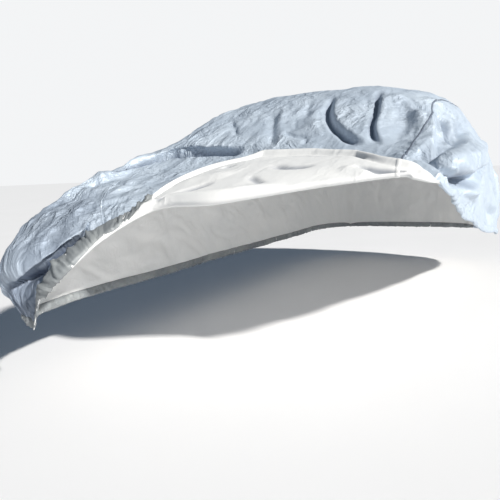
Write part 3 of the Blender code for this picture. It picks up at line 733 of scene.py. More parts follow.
@dataclass
class Cloth:
    """A structured sheet: rows run along the cover and columns across it.

    Attributes:
        points: Positions, rows by columns by 3.
        rows: What each row stands at: a rib place, or a share of the turned-back reach.
        columns: The line place of each column.
    """

    points: np.ndarray
    rows: np.ndarray
    columns: np.ndarray

    def normals(self) -> np.ndarray:
        """Unit normals from the order of rows and columns.

        Returns:
            A unit vector for every point.
        """
        along = np.gradient(self.points, axis=0)
        across = np.gradient(self.points, axis=1)
        return unit(np.cross(along, across))

    def at(self, places: np.ndarray) -> np.ndarray:
        """Positions read bilinearly between the points.

        Args:
            places: Array of (row, column) places.

        Returns:
            The position at each place.
        """
        row = np.interp(places[:, 0], self.rows, np.arange(len(self.rows)))
        column = np.interp(places[:, 1], self.columns, np.arange(len(self.columns)))
        r = np.minimum(row.astype(int), len(self.rows) - 2)
        c = np.minimum(column.astype(int), len(self.columns) - 2)
        a, b = (row - r)[:, None], (column - c)[:, None]
        p = self.points
        near = (1.0 - a) * p[r, c] + a * p[r + 1, c]
        far = (1.0 - a) * p[r, c + 1] + a * p[r + 1, c + 1]
        return (1.0 - b) * near + b * far

    def measure(self, origin: Place) -> np.ndarray:
        """Distances on the cloth from a place.

        Args:
            origin: The (row, column) place that they count from.

        Returns:
            Distance across and distance along for every point, in metres.
        """
        steps_along = np.linalg.norm(np.diff(self.points, axis=0), axis=2)
        steps_across = np.linalg.norm(np.diff(self.points, axis=1), axis=2)
        along = np.zeros(self.points.shape[:2])
        along[1:] = np.cumsum(steps_along, axis=0)
        across = np.zeros(self.points.shape[:2])
        across[:, 1:] = np.cumsum(steps_across, axis=1)
        row = int(round(float(np.interp(origin[0], self.rows, np.arange(len(self.rows))))))
        column = int(round(float(np.interp(origin[1], self.columns, np.arange(len(self.columns))))))
        return np.stack((across - across[:, column : column + 1], along - along[row : row + 1]), axis=2)


class Creaser:
    """Lays creases into a cloth along its outward directions, and keeps their painted shade."""

    SAMPLES = 28  # points along the run of a crease
    SHARPNESS = 0.75  # share of a crease's section that is a tent, the rest being a soft bell
    TENT_REACH = 1.7  # half width of the tent, in fall-off distances
    SHADE_REACH = 1.6  # how far the painted shade reaches, in fall-off distances
    SEARCH_REACH = 2.6  # how far from its run a crease can move a point, in fall-off distances
    WAVER = 0.8  # how far a wrinkle wavers to each side, in pitches
    WAVER_LENGTH = 4.0  # distance from one waver to the next, in pitches
    OCTAVES = ((1.0, 1.0), (2.1, 0.45))  # fineness and weight of the coarse and the fine wrinkles
    CREST_LEVEL = 0.32  # swell height, up or down, past which the cloth lies low between wrinkles
    CREST_ROUNDING = 0.0016  # rounds the wrinkles' crests
    CREST_GAIN = 2.0  # makes the wrinkles higher, nearer to their stated height

    def __init__(self, cloth: Cloth, outward: np.ndarray) -> None:
        """Keeps the undisturbed cloth, on which every run is laid.

        Args:
            cloth: The sheet before any crease.
            outward: Unit direction of a ridge at every point.
        """
        self.cloth = cloth
        self.outward = outward
        self.moves = np.zeros_like(cloth.points)
        self.shade = np.zeros(cloth.points.shape[:2])

    def lay(self, fold: Fold) -> None:
        """Adds one crease to the moves, and its painted shade to the shade.

        Args:
            fold: The crease and its run.
        """
        run = np.array(fold.run, dtype=float)
        if len(run) > 2:
            run = smooth_through(run, np.linspace(0.0, len(run) - 1.0, self.SAMPLES))
        else:
            run = run[0] + np.linspace(0.0, 1.0, self.SAMPLES)[:, None] * (run[1] - run[0])
        curve = self.cloth.at(run)
        reach = self.SEARCH_REACH * max(fold.left, fold.right)
        points = self.cloth.points.reshape(-1, 3)
        low, high = curve.min(axis=0) - reach, curve.max(axis=0) + reach
        picked = np.where(((points >= low) & (points <= high)).all(axis=1))[0]
        if not len(picked):
            return
        normals = self.outward.reshape(-1, 3)[picked]
        start, step = curve[:-1], np.diff(curve, axis=0)
        offset = points[picked][:, None] - start[None]
        share = np.clip((offset * step).sum(axis=2) / (step * step).sum(axis=1), 0.0, 1.0)
        gap = offset - share[..., None] * step
        distance = np.linalg.norm(gap, axis=2)
        nearest = distance.argmin(axis=1)
        every = np.arange(len(picked))
        side = unit(np.cross(normals, unit(step)[nearest]))
        leftward = (gap[every, nearest] * side).sum(axis=1)
        along = (nearest + share[every, nearest]) / (self.SAMPLES - 1.0)
        width = np.where(leftward > 0.0, fold.left, fold.right)
        away = distance[every, nearest] / width
        tent = np.clip(1.0 - away / self.TENT_REACH, 0.0, 1.0)
        crest = self.SHARPNESS * tent + (1.0 - self.SHARPNESS) * np.exp(-(away**2))
        ends = ease(np.minimum(along, 1.0 - along) / fold.fade)
        crest *= ends
        # Painted shade: a darker share for the cloth's colour, strongest at the crease's bottom; the most
        # that any crease asks for is kept
        gloom = self.shade.reshape(-1)
        tone = fold.shade * ends * ease(self.SHADE_REACH - away)
        gloom[picked] = np.maximum(gloom[picked], tone)
        move = fold.height * crest[:, None] * normals + fold.lean * crest[:, None] * side
        self.moves.reshape(-1, 3)[picked] += move

    def wrinkle(self, wrinkles: Wrinkles, measured: np.ndarray, seed: int) -> None:
        """Adds many small creases to the moves.

        Args:
            wrinkles: The creases and where they lie.
            measured: Distances across and along the cloth for every point, in metres.
            seed: Seed of their own random draws.
        """
        plan = Cloth(measured, self.cloth.rows, self.cloth.columns)
        away = measured - plan.at(np.array(wrinkles.centre)[None])[0]
        gone = (away[..., 1] / wrinkles.spread[0]) ** 2 + (away[..., 0] / wrinkles.spread[1]) ** 2
        angle = math.radians(wrinkles.heading)
        run = away[..., 0] * math.cos(angle) + away[..., 1] * math.sin(angle)
        off = -away[..., 0] * math.sin(angle) + away[..., 1] * math.cos(angle)
        off = off + self.WAVER * wrinkles.pitch * swell(away / (self.WAVER_LENGTH * wrinkles.pitch), seed)
        relief = np.zeros(measured.shape[:2])
        for octave, share in self.OCTAVES:
            places = np.stack((run / wrinkles.stretch, off), axis=-1) * octave / (2.0 * wrinkles.pitch)
            heights = swell(places, seed + int(10.0 * octave))
            crests = self.CREST_LEVEL - np.sqrt(heights**2 + self.CREST_ROUNDING)
            relief += share * crests * self.CREST_GAIN
        self.moves += (wrinkles.height * relief * np.exp(-(gone**1.5)))[..., None] * self.outward


@dataclass(frozen=True)
class Crumple:
    """Creases left by packing: a net of sharp ridges round shallow facets.

    Attributes:
        cell: Usual width of a facet, in metres.
        depth: How deep the facets lie below the ridges, in metres.
        stretch: How much longer the facets are along the cover than across it.
        seed: Seed of the facets' own random draws.
    """

    cell: float
    depth: float
    stretch: float
    seed: int

    WARPS = 6  # waves that bend the net of facets
    WARP_RATE = 1.1  # usual turn of a wave over one facet, in radians
    WARP_PUSH = 0.13  # usual push of a wave, in facets
    MARGIN = 0.05  # closest that a facet's middle comes to the side of its square, in facets
    LEVEL = 0.45  # distance from a facet's middle at which the relief is zero, in facets

    def relief(self, measured: np.ndarray) -> np.ndarray:
        """Height of the crumpled surface.

        Args:
            measured: Distances across and along the cloth for every point, in metres.

        Returns:
            The height at every point, in metres.
        """
        draws = np.random.default_rng(self.seed)
        places = measured / self.cell / np.array((1.0, self.stretch))
        for _ in range(self.WARPS):
            wave = draws.normal(size=2) * self.WARP_RATE
            push = draws.normal(size=2) * self.WARP_PUSH
            phase = draws.uniform(0.0, 2.0 * math.pi)
            places = places + np.sin(places @ wave + phase)[..., None] * push
        places = places - places.reshape(-1, 2).min(axis=0)
        cells = places.astype(int)
        count = cells.reshape(-1, 2).max(axis=0) + 3
        jitter = draws.uniform(self.MARGIN, 1.0 - self.MARGIN, size=(count[0], count[1], 2))
        nearest = np.full(places.shape[:2], np.inf)
        for across in (-1, 0, 1):
            for along in (-1, 0, 1):
                i, j = cells[..., 0] + across, cells[..., 1] + along
                middle = np.stack((i, j), axis=-1) + jitter[i, j]
                nearest = np.minimum(nearest, np.linalg.norm(places - middle, axis=-1))
        return self.depth * (nearest - self.LEVEL)


CRUMPLES = (
    Crumple(cell=0.130, depth=0.0150, stretch=1.5, seed=41),
    Crumple(cell=0.055, depth=-0.0060, stretch=1.2, seed=42),
)


MEASURED_FROM = (4.0, float(Line.CROWN))  # place that distances on the cloth count from


@dataclass
class CoverForm:
    """The whole cover as one structured surface, from which the panels are cut.

    Attributes:
        rib_steps: Rows between one rib and the next.
        line_steps: Columns between one line and the next.
        back_rows: Rows of the turned-back cloth.
        turn_rows: Rows round the rolled crease.
        edge_lift: Height of the turned-back edge, as a share of its lift.
        roll_height: Height of the soft roll along the turned-back edge.
        roll_reach: Distance of the roll's crest from the edge.
        roll_width: Half width of the roll's rounded section.
        roll_near: Line at which the roll starts on the near side, and the lines it rises over.
        roll_far: Line at which the roll ends on the far side, and the lines it falls over.
        groove_reach: Distance of the groove behind the roll from the edge, in roll reaches.
        groove_width: Half width of the groove's rounded section.
        groove_share: Depth of the groove, as a share of the roll's height.
        edge_share: Share of the height above the cloth below that is left at the very edge.
        edge_run: Distance from the edge over which the full height is reached.
        settle_run: Distance from the edge over which the turned-back creases come in.
        clear_start: How far under the turned-back edge the lying creases start, in ribs.
        clear_run: Over how many ribs they come in.
        turn_starts: First row of the lying cloth.
        lines: Line place of each column.
        points: Positions of the whole cover, rows by columns by 3.
        normals: Unit normals at those positions.
        measured: Distances across and along the cloth at those positions, in metres.
        shade: Share of painted shade at those positions.
        cloth: The same positions as a sheet, with what its rows and columns stand at.
    """

    rib_steps: tuple[int, ...] = (44, 26, 18, 30, 30, 28, 26, 26, 26, 20, 18, 18, 14)
    line_steps: tuple[int, ...] = (28, 32, 34, 22, 38, 38, 24, 36, 32, 24)
    back_rows: int = 52
    turn_rows: int = 10
    edge_lift: float = 0.6
    roll_height: float = 0.016
    roll_reach: float = 0.030
    roll_width: float = 0.024
    roll_near: Place = (0.6, 1.2)
    roll_far: Place = (6.5, 0.6)
    groove_reach: float = 2.6
    groove_width: float = 0.022
    groove_share: float = 0.45
    edge_share: float = 0.35
    edge_run: float = 0.022
    settle_run: float = 0.03
    clear_start: float = 0.06
    clear_run: float = 0.18
    turn_starts: int = field(init=False, default=0)
    lines: np.ndarray = field(init=False, repr=False)
    points: np.ndarray = field(init=False, repr=False)
    normals: np.ndarray = field(init=False, repr=False)
    measured: np.ndarray = field(init=False, repr=False)
    shade: np.ndarray = field(init=False, repr=False)
    cloth: Cloth = field(init=False, repr=False)

    def build(self) -> None:
        """Shapes the lying cloth and the turned-back cloth, with all their creases."""
        ribs = spread_places(self.rib_steps)
        lines = spread_places(self.line_steps)
        plain = self._plain(ribs, lines)
        outward = plain.normals()
        measured = plain.measure(MEASURED_FROM)
        creaser = Creaser(plain, outward)
        for fold in SLOPE_FOLDS + WING_FOLDS + DRAPE_FOLDS + FAR_AND_REAR_FOLDS:
            creaser.lay(fold)
        for seed, wrinkles in enumerate(WRINKLES):
            creaser.wrinkle(wrinkles, measured, seed)
        tame = self._tame(ribs, lines)
        for crumple in CRUMPLES:
            creaser.moves += (tame * crumple.relief(measured))[..., None] * outward
        reach, lift = self._turn_back(lines)
        clear = ease((ribs[:, None] - reach + self.clear_start) / self.clear_run)
        lying = plain.points + creaser.moves * clear[..., None]
        back, back_measured, back_shade = self._turned(plain, outward, measured, reach, lift)
        self.turn_starts = len(back)
        self.points = np.concatenate((back, lying))
        self.shade = np.concatenate((back_shade, creaser.shade))
        self.measured = np.concatenate((back_measured, measured))
        self.lines = lines
        rows = np.concatenate((np.linspace(-1.0, -0.001, len(back)), ribs))
        self.cloth = Cloth(self.points, rows, lines)
        self.normals = self.cloth.normals()

    def _plain(self, ribs: np.ndarray, lines: np.ndarray) -> Cloth:
        """The undisturbed form.

        Args:
            ribs: Rib place of each row.
            lines: Line place of each column.

        Returns:
            The lying cloth before any crease.
        """
        net = np.array([rib[1:] for rib in RIBS], dtype=float)
        net -= np.array((0.0, SEAT_STATION, SEAT_HEIGHT))
        across = smooth_through(net.transpose(1, 0, 2), lines)
        return Cloth(smooth_through(across.transpose(1, 0, 2), ribs), ribs, lines)

    def _tame(self, ribs: np.ndarray, lines: np.ndarray) -> np.ndarray:
        """Share of the crumpling that is left: less where the cloth is taut.

        Args:
            ribs: Rib place of each row.
            lines: Line place of each column.

        Returns:
            The share at every row and column.
        """
        tame = np.ones((len(ribs), len(lines)))
        for taut in TAUT_PARTS:
            along = (ribs[:, None] - taut.rib) / taut.ribs_spread
            across = (lines[None] - taut.line) / taut.lines_spread
            tame *= 1.0 - taut.share * np.exp(-(along**2 + across**2))
        return tame

    def _turn_back(self, lines: np.ndarray) -> tuple[np.ndarray, np.ndarray]:
        """How the nose lies back.

        Args:
            lines: Line place of each column.

        Returns:
            Its reach in ribs and its lift in metres, at each column.
        """
        table = np.array(TURN_BACKS, dtype=float)
        return np.interp(lines, table[:, 0], table[:, 1]), np.interp(lines, table[:, 0], table[:, 2])

    def _turned(
        self,
        plain: Cloth,
        outward: np.ndarray,
        measured: np.ndarray,
        reach: np.ndarray,
        lift: np.ndarray,
    ) -> tuple[np.ndarray, np.ndarray, np.ndarray]:
        """Rows of the cloth that lies back, from its free edge to the crease.

        Args:
            plain: The undisturbed lying cloth.
            outward: Its unit normals.
            measured: Distances across and along it.
            reach: How far the cloth lies back at each column, in ribs.
            lift: How high it lies above the cloth below, in metres.

        Returns:
            The rows' points, their distances across and along the cloth, and their painted shade.
        """
        shares = 1.0 - np.arange(self.back_rows) / self.back_rows
        count = len(plain.columns)
        base = np.empty((self.back_rows, count, 3))
        upward = np.empty_like(base)
        for row, share in enumerate(shares):
            places = np.stack((reach * share, plain.columns), axis=1)
            base[row] = plain.at(places)
            upward[row] = unit(Cloth(outward, plain.rows, plain.columns).at(places))
        lengths = np.zeros((self.back_rows, count))
        lengths[1:] = np.cumsum(np.linalg.norm(np.diff(base, axis=0), axis=2), axis=0)
        rises = ease((plain.columns - self.roll_near[0]) / self.roll_near[1])
        falls = ease((self.roll_far[0] - plain.columns) / self.roll_far[1])
        crest = np.exp(-(((lengths - self.roll_reach) / self.roll_width) ** 2))
        groove = np.exp(-(((lengths - self.groove_reach * self.roll_reach) / self.groove_width) ** 2))
        height = lift * (1.0 - (1.0 - self.edge_lift) * shares[:, None] ** 3)
        height = height + rises * falls * self.roll_height * (crest - self.groove_share * groove)
        height = height * (self.edge_share + (1.0 - self.edge_share) * ease(lengths / self.edge_run))
        raised = base + height[..., None] * upward
        creaser = Creaser(Cloth(raised[::-1], shares[::-1], plain.columns), upward[::-1])
        for fold in TURNED_FOLDS:
            creaser.lay(fold)
        settled = ease(lengths / self.settle_run)[..., None]
        back = raised + creaser.moves[::-1] * settled
        first, normal = plain.points[0], outward[0]
        backward = unit(plain.points[1] - first)
        centre = first + 0.5 * lift[:, None] * normal
        turn = np.empty((self.turn_rows, count, 3))
        for row in range(self.turn_rows):
            angle = math.pi * (self.turn_rows - row) / (self.turn_rows + 1)
            out = math.cos(angle) * normal + math.sin(angle) * backward
            turn[row] = centre - 0.5 * lift[:, None] * out
        across = np.repeat(measured[:1, :, 0], self.back_rows + self.turn_rows, axis=0)
        full = lengths[-1] + np.linalg.norm(base[-1] - first, axis=1)
        along = np.concatenate((lengths - full, np.zeros((self.turn_rows, count))))
        along += measured[0, :, 1] - 0.5 * math.pi * lift
        along[self.back_rows :] += np.linspace(0.0, 1.0, self.turn_rows)[:, None] * 0.5 * math.pi * lift
        # Painted shade of the turned-back creases, and none round the rolled crease
        shade = np.concatenate((creaser.shade[::-1], np.zeros((self.turn_rows, count))))
        return np.concatenate((back, turn)), np.stack((across, along), axis=2), shade

    def column(self, line: float) -> int:
        """The column that stands nearest to a line."""
        return int(np.abs(self.lines - line).argmin())


class Finish:
    """A material's node tree, with short calls that add and join nodes."""

    def __init__(self, name: str) -> None:
        """Makes an empty material with its shader and output.

        Args:
            name: Name of the material.
        """
        self.material = bpy.data.materials.new(name)
        self.material.use_nodes = True
        self.tree = self.material.node_tree
        self.shader = self.tree.nodes["Principled BSDF"]

    def node(self, kind: str, **values: object) -> bpy.types.Node:
        """Adds a node and sets its properties, or its inputs where no property has that name.

        Args:
            kind: Node type, without its ShaderNode prefix.
            **values: Property names, or input names with underscores for spaces.

        Returns:
            The new node.
        """
        made = self.tree.nodes.new("ShaderNode" + kind)
        for name, value in values.items():
            label = name.replace("_", " ")
            if label in made.inputs:
                made.inputs[label].default_value = value
            else:
                setattr(made, name, value)
        return made

    def join(self, source: bpy.types.NodeSocket, target: bpy.types.NodeSocket) -> None:
        """Links an output to an input."""
        self.tree.links.new(source, target)

    def cloth_places(self, stretch: Point = (1.0, 1.0, 1.0), turn: float = 0.0) -> bpy.types.NodeSocket:
        """Places on the cloth in metres, stretched and turned about its normal.

        Args:
            stretch: Scale along each axis of the cloth.
            turn: Turn about the cloth's normal, in radians.

        Returns:
            The output that gives the places.
        """
        source = self.node("UVMap", uv_map="cloth")
        mapping = self.node("Mapping")
        mapping.inputs["Scale"].default_value = stretch
        mapping.inputs["Rotation"].default_value = (0.0, 0.0, turn)
        self.join(source.outputs["UV"], mapping.inputs["Vector"])
        return mapping.outputs["Vector"]

    def noise(self, vector: bpy.types.NodeSocket, **values: object) -> bpy.types.NodeSocket:
        """A noise texture.

        Args:
            vector: Output that gives the places where it is read.
            **values: Properties and inputs of the texture.

        Returns:
            The output that gives its value.
        """
        texture = self.node("TexNoise", **values)
        self.join(vector, texture.inputs["Vector"])
        return texture.outputs["Fac"]

    def ramp(
        self, source: bpy.types.NodeSocket, stops: tuple[tuple[float, tuple[float, ...]], ...]
    ) -> bpy.types.NodeSocket:
        """Colours spread over a value from 0 to 1.

        Args:
            source: Output that gives the value.
            stops: Position and colour of each stop.

        Returns:
            The output that gives the colour.
        """
        made = self.node("ValToRGB")
        elements = made.color_ramp.elements
        while len(elements) < len(stops):
            elements.new(0.5)
        for element, (position, colour) in zip(elements, stops):
            element.position = position
            element.color = colour
        self.join(source, made.inputs["Fac"])
        return made.outputs["Color"]

    def remap(
        self, source: bpy.types.NodeSocket, low: float, high: float, to_low: float, to_high: float
    ) -> bpy.types.NodeSocket:
        """A value's range moved to another.

        Args:
            source: Output that gives the value.
            low: Start of its range.
            high: End of its range.
            to_low: Start of the new range.
            to_high: End of the new range.

        Returns:
            The output that gives the new value.
        """
        made = self.node("MapRange", From_Min=low, From_Max=high, To_Min=to_low, To_Max=to_high)
        self.join(source, made.inputs["Value"])
        return made.outputs["Result"]

    def times(self, first: bpy.types.NodeSocket, second: bpy.types.NodeSocket) -> bpy.types.NodeSocket:
        """The product of two values.

        Args:
            first: Output that gives one value.
            second: Output that gives the other.

        Returns:
            The output that gives the product.
        """
        made = self.node("Math", operation="MULTIPLY")
        self.join(first, made.inputs[0])
        self.join(second, made.inputs[1])
        return made.outputs["Value"]

    def bump(
        self, height: bpy.types.NodeSocket, depth: float, under: bpy.types.NodeSocket | None = None
    ) -> bpy.types.NodeSocket:
        """A bump, over an earlier one if given.

        Args:
            height: Output that gives the height, from 0 to 1.
            depth: Depth of the bump, in metres.
            under: Normal of the earlier bump.

        Returns:
            The output that gives the normal.
        """
        made = self.node("Bump", Strength=1.0, Distance=depth)
        self.join(height, made.inputs["Height"])
        if under is not None:
            self.join(under, made.inputs["Normal"])
        return made.outputs["Normal"]

    def weave(self, pitch: float) -> bpy.types.NodeSocket:
        """Crossing threads of a plain weave.

        Args:
            pitch: Distance from one thread to the next, in metres.

        Returns:
            The output that gives the height of the threads.
        """
        across = self.node("TexWave", wave_type="BANDS", bands_direction="X", Scale=0.5 / pitch)
        along = self.node("TexWave", wave_type="BANDS", bands_direction="Y", Scale=0.5 / pitch)
        places = self.cloth_places()
        self.join(places, across.inputs["Vector"])
        self.join(places, along.inputs["Vector"])
        both = self.node("Math", operation="MAXIMUM")
        self.join(across.outputs["Fac"], both.inputs[0])
        self.join(along.outputs["Fac"], both.inputs[1])
        return both.outputs["Value"]


@dataclass(frozen=True)
class CoatedCloth:
    """A taffeta coated on one face, crinkled from being packed.

    Attributes:
        name: Name of the material.
        pale: Colour where the coating is cleanest.
        dull: Colour where it is scuffed.
        metallic: Share of the coating that reflects as metal.
        roughness: Lowest and highest roughness.
        crinkle: Depth of the packing creases, in metres.
        sheen: Weight of the fuzz on the cloth.
        gloom: Colour of the painted shade, mixed in where a crease asks for it, to deepen its shadow.
        weave_pitch: Distance from one thread to the next, in metres.
        weave_depth: Height of the threads, in metres.
    """

    name: str
    pale: Point
    dull: Point
    metallic: float
    roughness: tuple[float, float]
    crinkle: float
    sheen: float
    gloom: Point = (0.10, 0.13, 0.20)
    weave_pitch: float = 0.0014
    weave_depth: float = 0.00006

    FINE_SHARE = 0.32  # depth of the fine creases, as a share of the broad ones

    def build(self) -> bpy.types.Material:
        """The finish as a node material.

        Returns:
            The material.
        """
        finish = Finish(self.name)
        places = finish.cloth_places()
        mottle = finish.noise(places, Scale=3.5, Detail=5.0, Roughness=0.6)
        colour = finish.ramp(mottle, ((0.30, (*self.dull, 1.0)), (0.72, (*self.pale, 1.0))))
        # Painted shade: each point's share of the darker colour is mixed into the base colour
        shade = finish.node("Attribute", attribute_name="painted_fold_shade")
        blend = finish.node("Mix", data_type="RGBA")
        blend.inputs["B"].default_value = (*self.gloom, 1.0)
        finish.join(shade.outputs["Fac"], blend.inputs["Factor"])
        finish.join(colour, blend.inputs["A"])
        finish.join(blend.outputs["Result"], finish.shader.inputs["Base Color"])
        scuff = finish.noise(places, Scale=22.0, Detail=4.0, Roughness=0.65)
        rough = finish.remap(scuff, 0.3, 0.7, *self.roughness)
        finish.join(rough, finish.shader.inputs["Roughness"])
        finish.shader.inputs["Metallic"].default_value = self.metallic
        finish.shader.inputs["Sheen Weight"].default_value = self.sheen
        broad = finish.noise(
            finish.cloth_places(stretch=(1.0, 0.55, 1.0), turn=0.5),
            noise_type="RIDGED_MULTIFRACTAL", Scale=8.0, Detail=5.0, Roughness=0.5, Distortion=0.6,
            Offset=1.0, Gain=2.0,
        )
        fine = finish.noise(
            finish.cloth_places(stretch=(0.8, 1.4, 1.0), turn=-0.7),
            noise_type="RIDGED_MULTIFRACTAL", Scale=24.0, Detail=3.0, Roughness=0.5, Distortion=0.9,
            Offset=1.0, Gain=2.0,
        )
        worn = finish.remap(finish.noise(places, Scale=2.6, Detail=2.0), 0.38, 0.62, 0.25, 1.0)
        normal = finish.bump(finish.times(broad, worn), self.crinkle)
        normal = finish.bump(finish.times(fine, worn), self.FINE_SHARE * self.crinkle, under=normal)
        normal = finish.bump(finish.weave(self.weave_pitch), self.weave_depth, under=normal)
        finish.join(normal, finish.shader.inputs["Normal"])
        return finish.material


SILVER_FACE = CoatedCloth(
    "silver_face", pale=(0.59, 0.67, 0.76), dull=(0.46, 0.54, 0.64),
    metallic=0.18, roughness=(0.44, 0.60), crinkle=0.0085, sheen=0.0,
)
INNER_FACE = CoatedCloth(
    "inner_face", pale=(0.90, 0.90, 0.89), dull=(0.83, 0.84, 0.84),
    metallic=0.0, roughness=(0.50, 0.65), crinkle=0.0022, sheen=0.1,
)
HEM_CLOTH = CoatedCloth(
    "hem_cloth", pale=(0.34, 0.36, 0.36), dull=(0.19, 0.21, 0.23),
    metallic=0.15, roughness=(0.45, 0.62), crinkle=0.0040, sheen=0.05,
)
# Painted shade: a dark colour for a seam band, standing in for the shadow along the seam
SEAM_PAINTED_SHADE = CoatedCloth(
    "seam_painted_shade", pale=(0.24, 0.28, 0.35), dull=(0.15, 0.18, 0.24),
    metallic=0.20, roughness=(0.45, 0.60), crinkle=0.0006, sheen=0.0,
)


@dataclass(frozen=True)
class Thread:
    """Sewing thread, grey and slightly glossy.

    Attributes:
        name: Name of the material.
        colour: Colour of the thread.
        groove: Brightness of the painted shade between two plies, as a share of the thread's own.
        twist_depth: Depth of the grooves between the plies, in metres.
        roughness: How matt the thread is.
    """

    name: str = "sewing_thread"
    colour: Point = (0.42, 0.45, 0.49)
    groove: float = 0.7
    twist_depth: float = 0.0001
    roughness: float = 0.5

    def build(self) -> bpy.types.Material:
        """The finish as a node material with the twist of its plies, and painted shade between them.

        Returns:
            The material.
        """
        finish = Finish(self.name)
        source = finish.node("TexCoord")
        twist = finish.node("TexWave", wave_type="BANDS", bands_direction="DIAGONAL", Scale=600.0)
        finish.join(source.outputs["Object"], twist.inputs["Vector"])
        value = twist.outputs["Fac"]
        # Painted shade: the colour between the plies is darkened
        dark = tuple(self.groove * part for part in self.colour)
        colour = finish.ramp(value, ((0.0, (*dark, 1.0)), (1.0, (*self.colour, 1.0))))
        finish.join(colour, finish.shader.inputs["Base Color"])
        finish.join(finish.bump(value, self.twist_depth), finish.shader.inputs["Normal"])
        finish.shader.inputs["Roughness"].default_value = self.roughness
        return finish.material


@dataclass(frozen=True)
class MattFloor:
    """A matt pale floor, very slightly mottled.

    Attributes:
        name: Name of the material.
        pale: Its palest colour.
        dull: Its dullest colour.
        mottle: Scale of the mottling.
        roughness: How matt it is.
    """

    name: str = "studio_floor"
    pale: Point = (0.93, 0.93, 0.94)
    dull: Point = (0.91, 0.91, 0.92)
    mottle: float = 0.8
    roughness: float = 0.9

    def build(self) -> bpy.types.Material:
        """The finish as a node material.

        Returns:
            The material.
        """
        finish = Finish(self.name)
        source = finish.node("TexCoord")
        tone = finish.noise(source.outputs["Object"], Scale=self.mottle, Detail=3.0)
        colour = finish.ramp(tone, ((0.3, (*self.dull, 1.0)), (0.7, (*self.pale, 1.0))))
        finish.join(colour, finish.shader.inputs["Base Color"])
        finish.shader.inputs["Roughness"].default_value = self.roughness
        return finish.material


def make_mesh(
    name: str,
    points: np.ndarray,
    faces: list[Iterable[int]],
    places: np.ndarray | None = None,
    materials: tuple[bpy.types.Material, ...] = (),
) -> bpy.types.Object:
    """A smooth-shaded mesh object, with its cloth places as a UV map.

    Args:
        name: Name of the object.
        points: Vertices.
        faces: Vertex indices of each face.
        places: Places on the cloth for each vertex, in metres.
        materials: Materials in slot order.

    Returns:
        The object, linked to the scene.
    """
    mesh = bpy.data.meshes.new(name)
    mesh.from_pydata(np.asarray(points, dtype=float).tolist(), [], faces)
    if places is not None:
        layer = mesh.uv_layers.new(name="cloth")
        corners = np.empty(len(mesh.loops), dtype=np.int32)
        mesh.loops.foreach_get("vertex_index", corners)
        layer.data.foreach_set("uv", places.reshape(-1, 2)[corners].ravel())
    mesh.validate()
    mesh.update()
    mesh.shade_smooth()
    for material in materials:
        mesh.materials.append(material)
    made = bpy.data.objects.new(name, mesh)
    bpy.context.scene.collection.objects.link(made)
    return made


def grid_faces(rows: int, columns: int) -> list[list[int]]:
    """Quads of a grid whose normals follow rows cross columns.

    Args:
        rows: Number of rows of vertices.
        columns: Number of columns of vertices.

    Returns:
        Vertex indices of each quad.
    """
    index = np.arange(rows * columns).reshape(rows, columns)
    ring = (index[:-1, :-1], index[1:, :-1], index[1:, 1:], index[:-1, 1:])
    return np.stack(ring, axis=-1).reshape(-1, 4).tolist()


def run_lengths(points: np.ndarray) -> np.ndarray:
    """Distance of each point of a run from its first point, along the run."""
    return np.concatenate(([0.0], np.cumsum(np.linalg.norm(np.diff(points, axis=0), axis=1))))


class Edge(Enum):
    """A border of the cover's grid."""

    TURNED = "turned"
    NEAR = "near"
    FAR = "far"
    TAIL = "tail"


@dataclass
class Panel:
    """One cut piece of the cover, as a sheet with a silver and a white face.

    Attributes:
        node: CAD node that it stands for.
        first: Line of its near border.
        last: Line of its far border.
        flat: Width and length that it was cut to, in metres; not used by this script.
        area: Its flat area, in square metres; not used by this script.
        thickness: Thickness of the cloth.
    """

    node: str
    first: Line
    last: Line
    flat: tuple[float, float]
    area: float
    thickness: float = CLOTH_THICKNESS

    def build(self, form: CoverForm, faces: tuple[bpy.types.Material, ...]) -> bpy.types.Object:
        """Cuts the panel out of the form and gives it its thickness.

        Args:
            form: The shaped cover.
            faces: Material of the outer face and of the inner face.

        Returns:
            The panel.
        """
        first, last = form.column(self.first), form.column(self.last)
        points = form.points[:, first : last + 1]
        places = form.measured[:, first : last + 1]
        sheet = make_mesh(
            self.node.replace("panel", "sheet"), points.reshape(-1, 3),
            grid_faces(*points.shape[:2]), places, faces,
        )
        # Painted shade at each point, which the materials mix into the cloth's colour
        shade = sheet.data.attributes.new("painted_fold_shade", "FLOAT", "POINT")
        shade.data.foreach_set("value", form.shade[:, first : last + 1].ravel().astype(np.float32))
        solid = sheet.modifiers.new("thickness", "SOLIDIFY")
        solid.thickness = self.thickness
        solid.offset = 0.0
        solid.material_offset = 1
        solid.use_rim = True
        apply_modifiers(sheet)
        return sheet


def apply_modifiers(piece: bpy.types.Object) -> None:
    """Bakes a piece's modifiers into its mesh.

    Args:
        piece: The object, whose mesh is replaced.
    """
    evaluated = piece.evaluated_get(bpy.context.evaluated_depsgraph_get())
    mesh = bpy.data.meshes.new_from_object(evaluated)
    piece.modifiers.clear()
    piece.data = mesh
    mesh.shade_smooth()


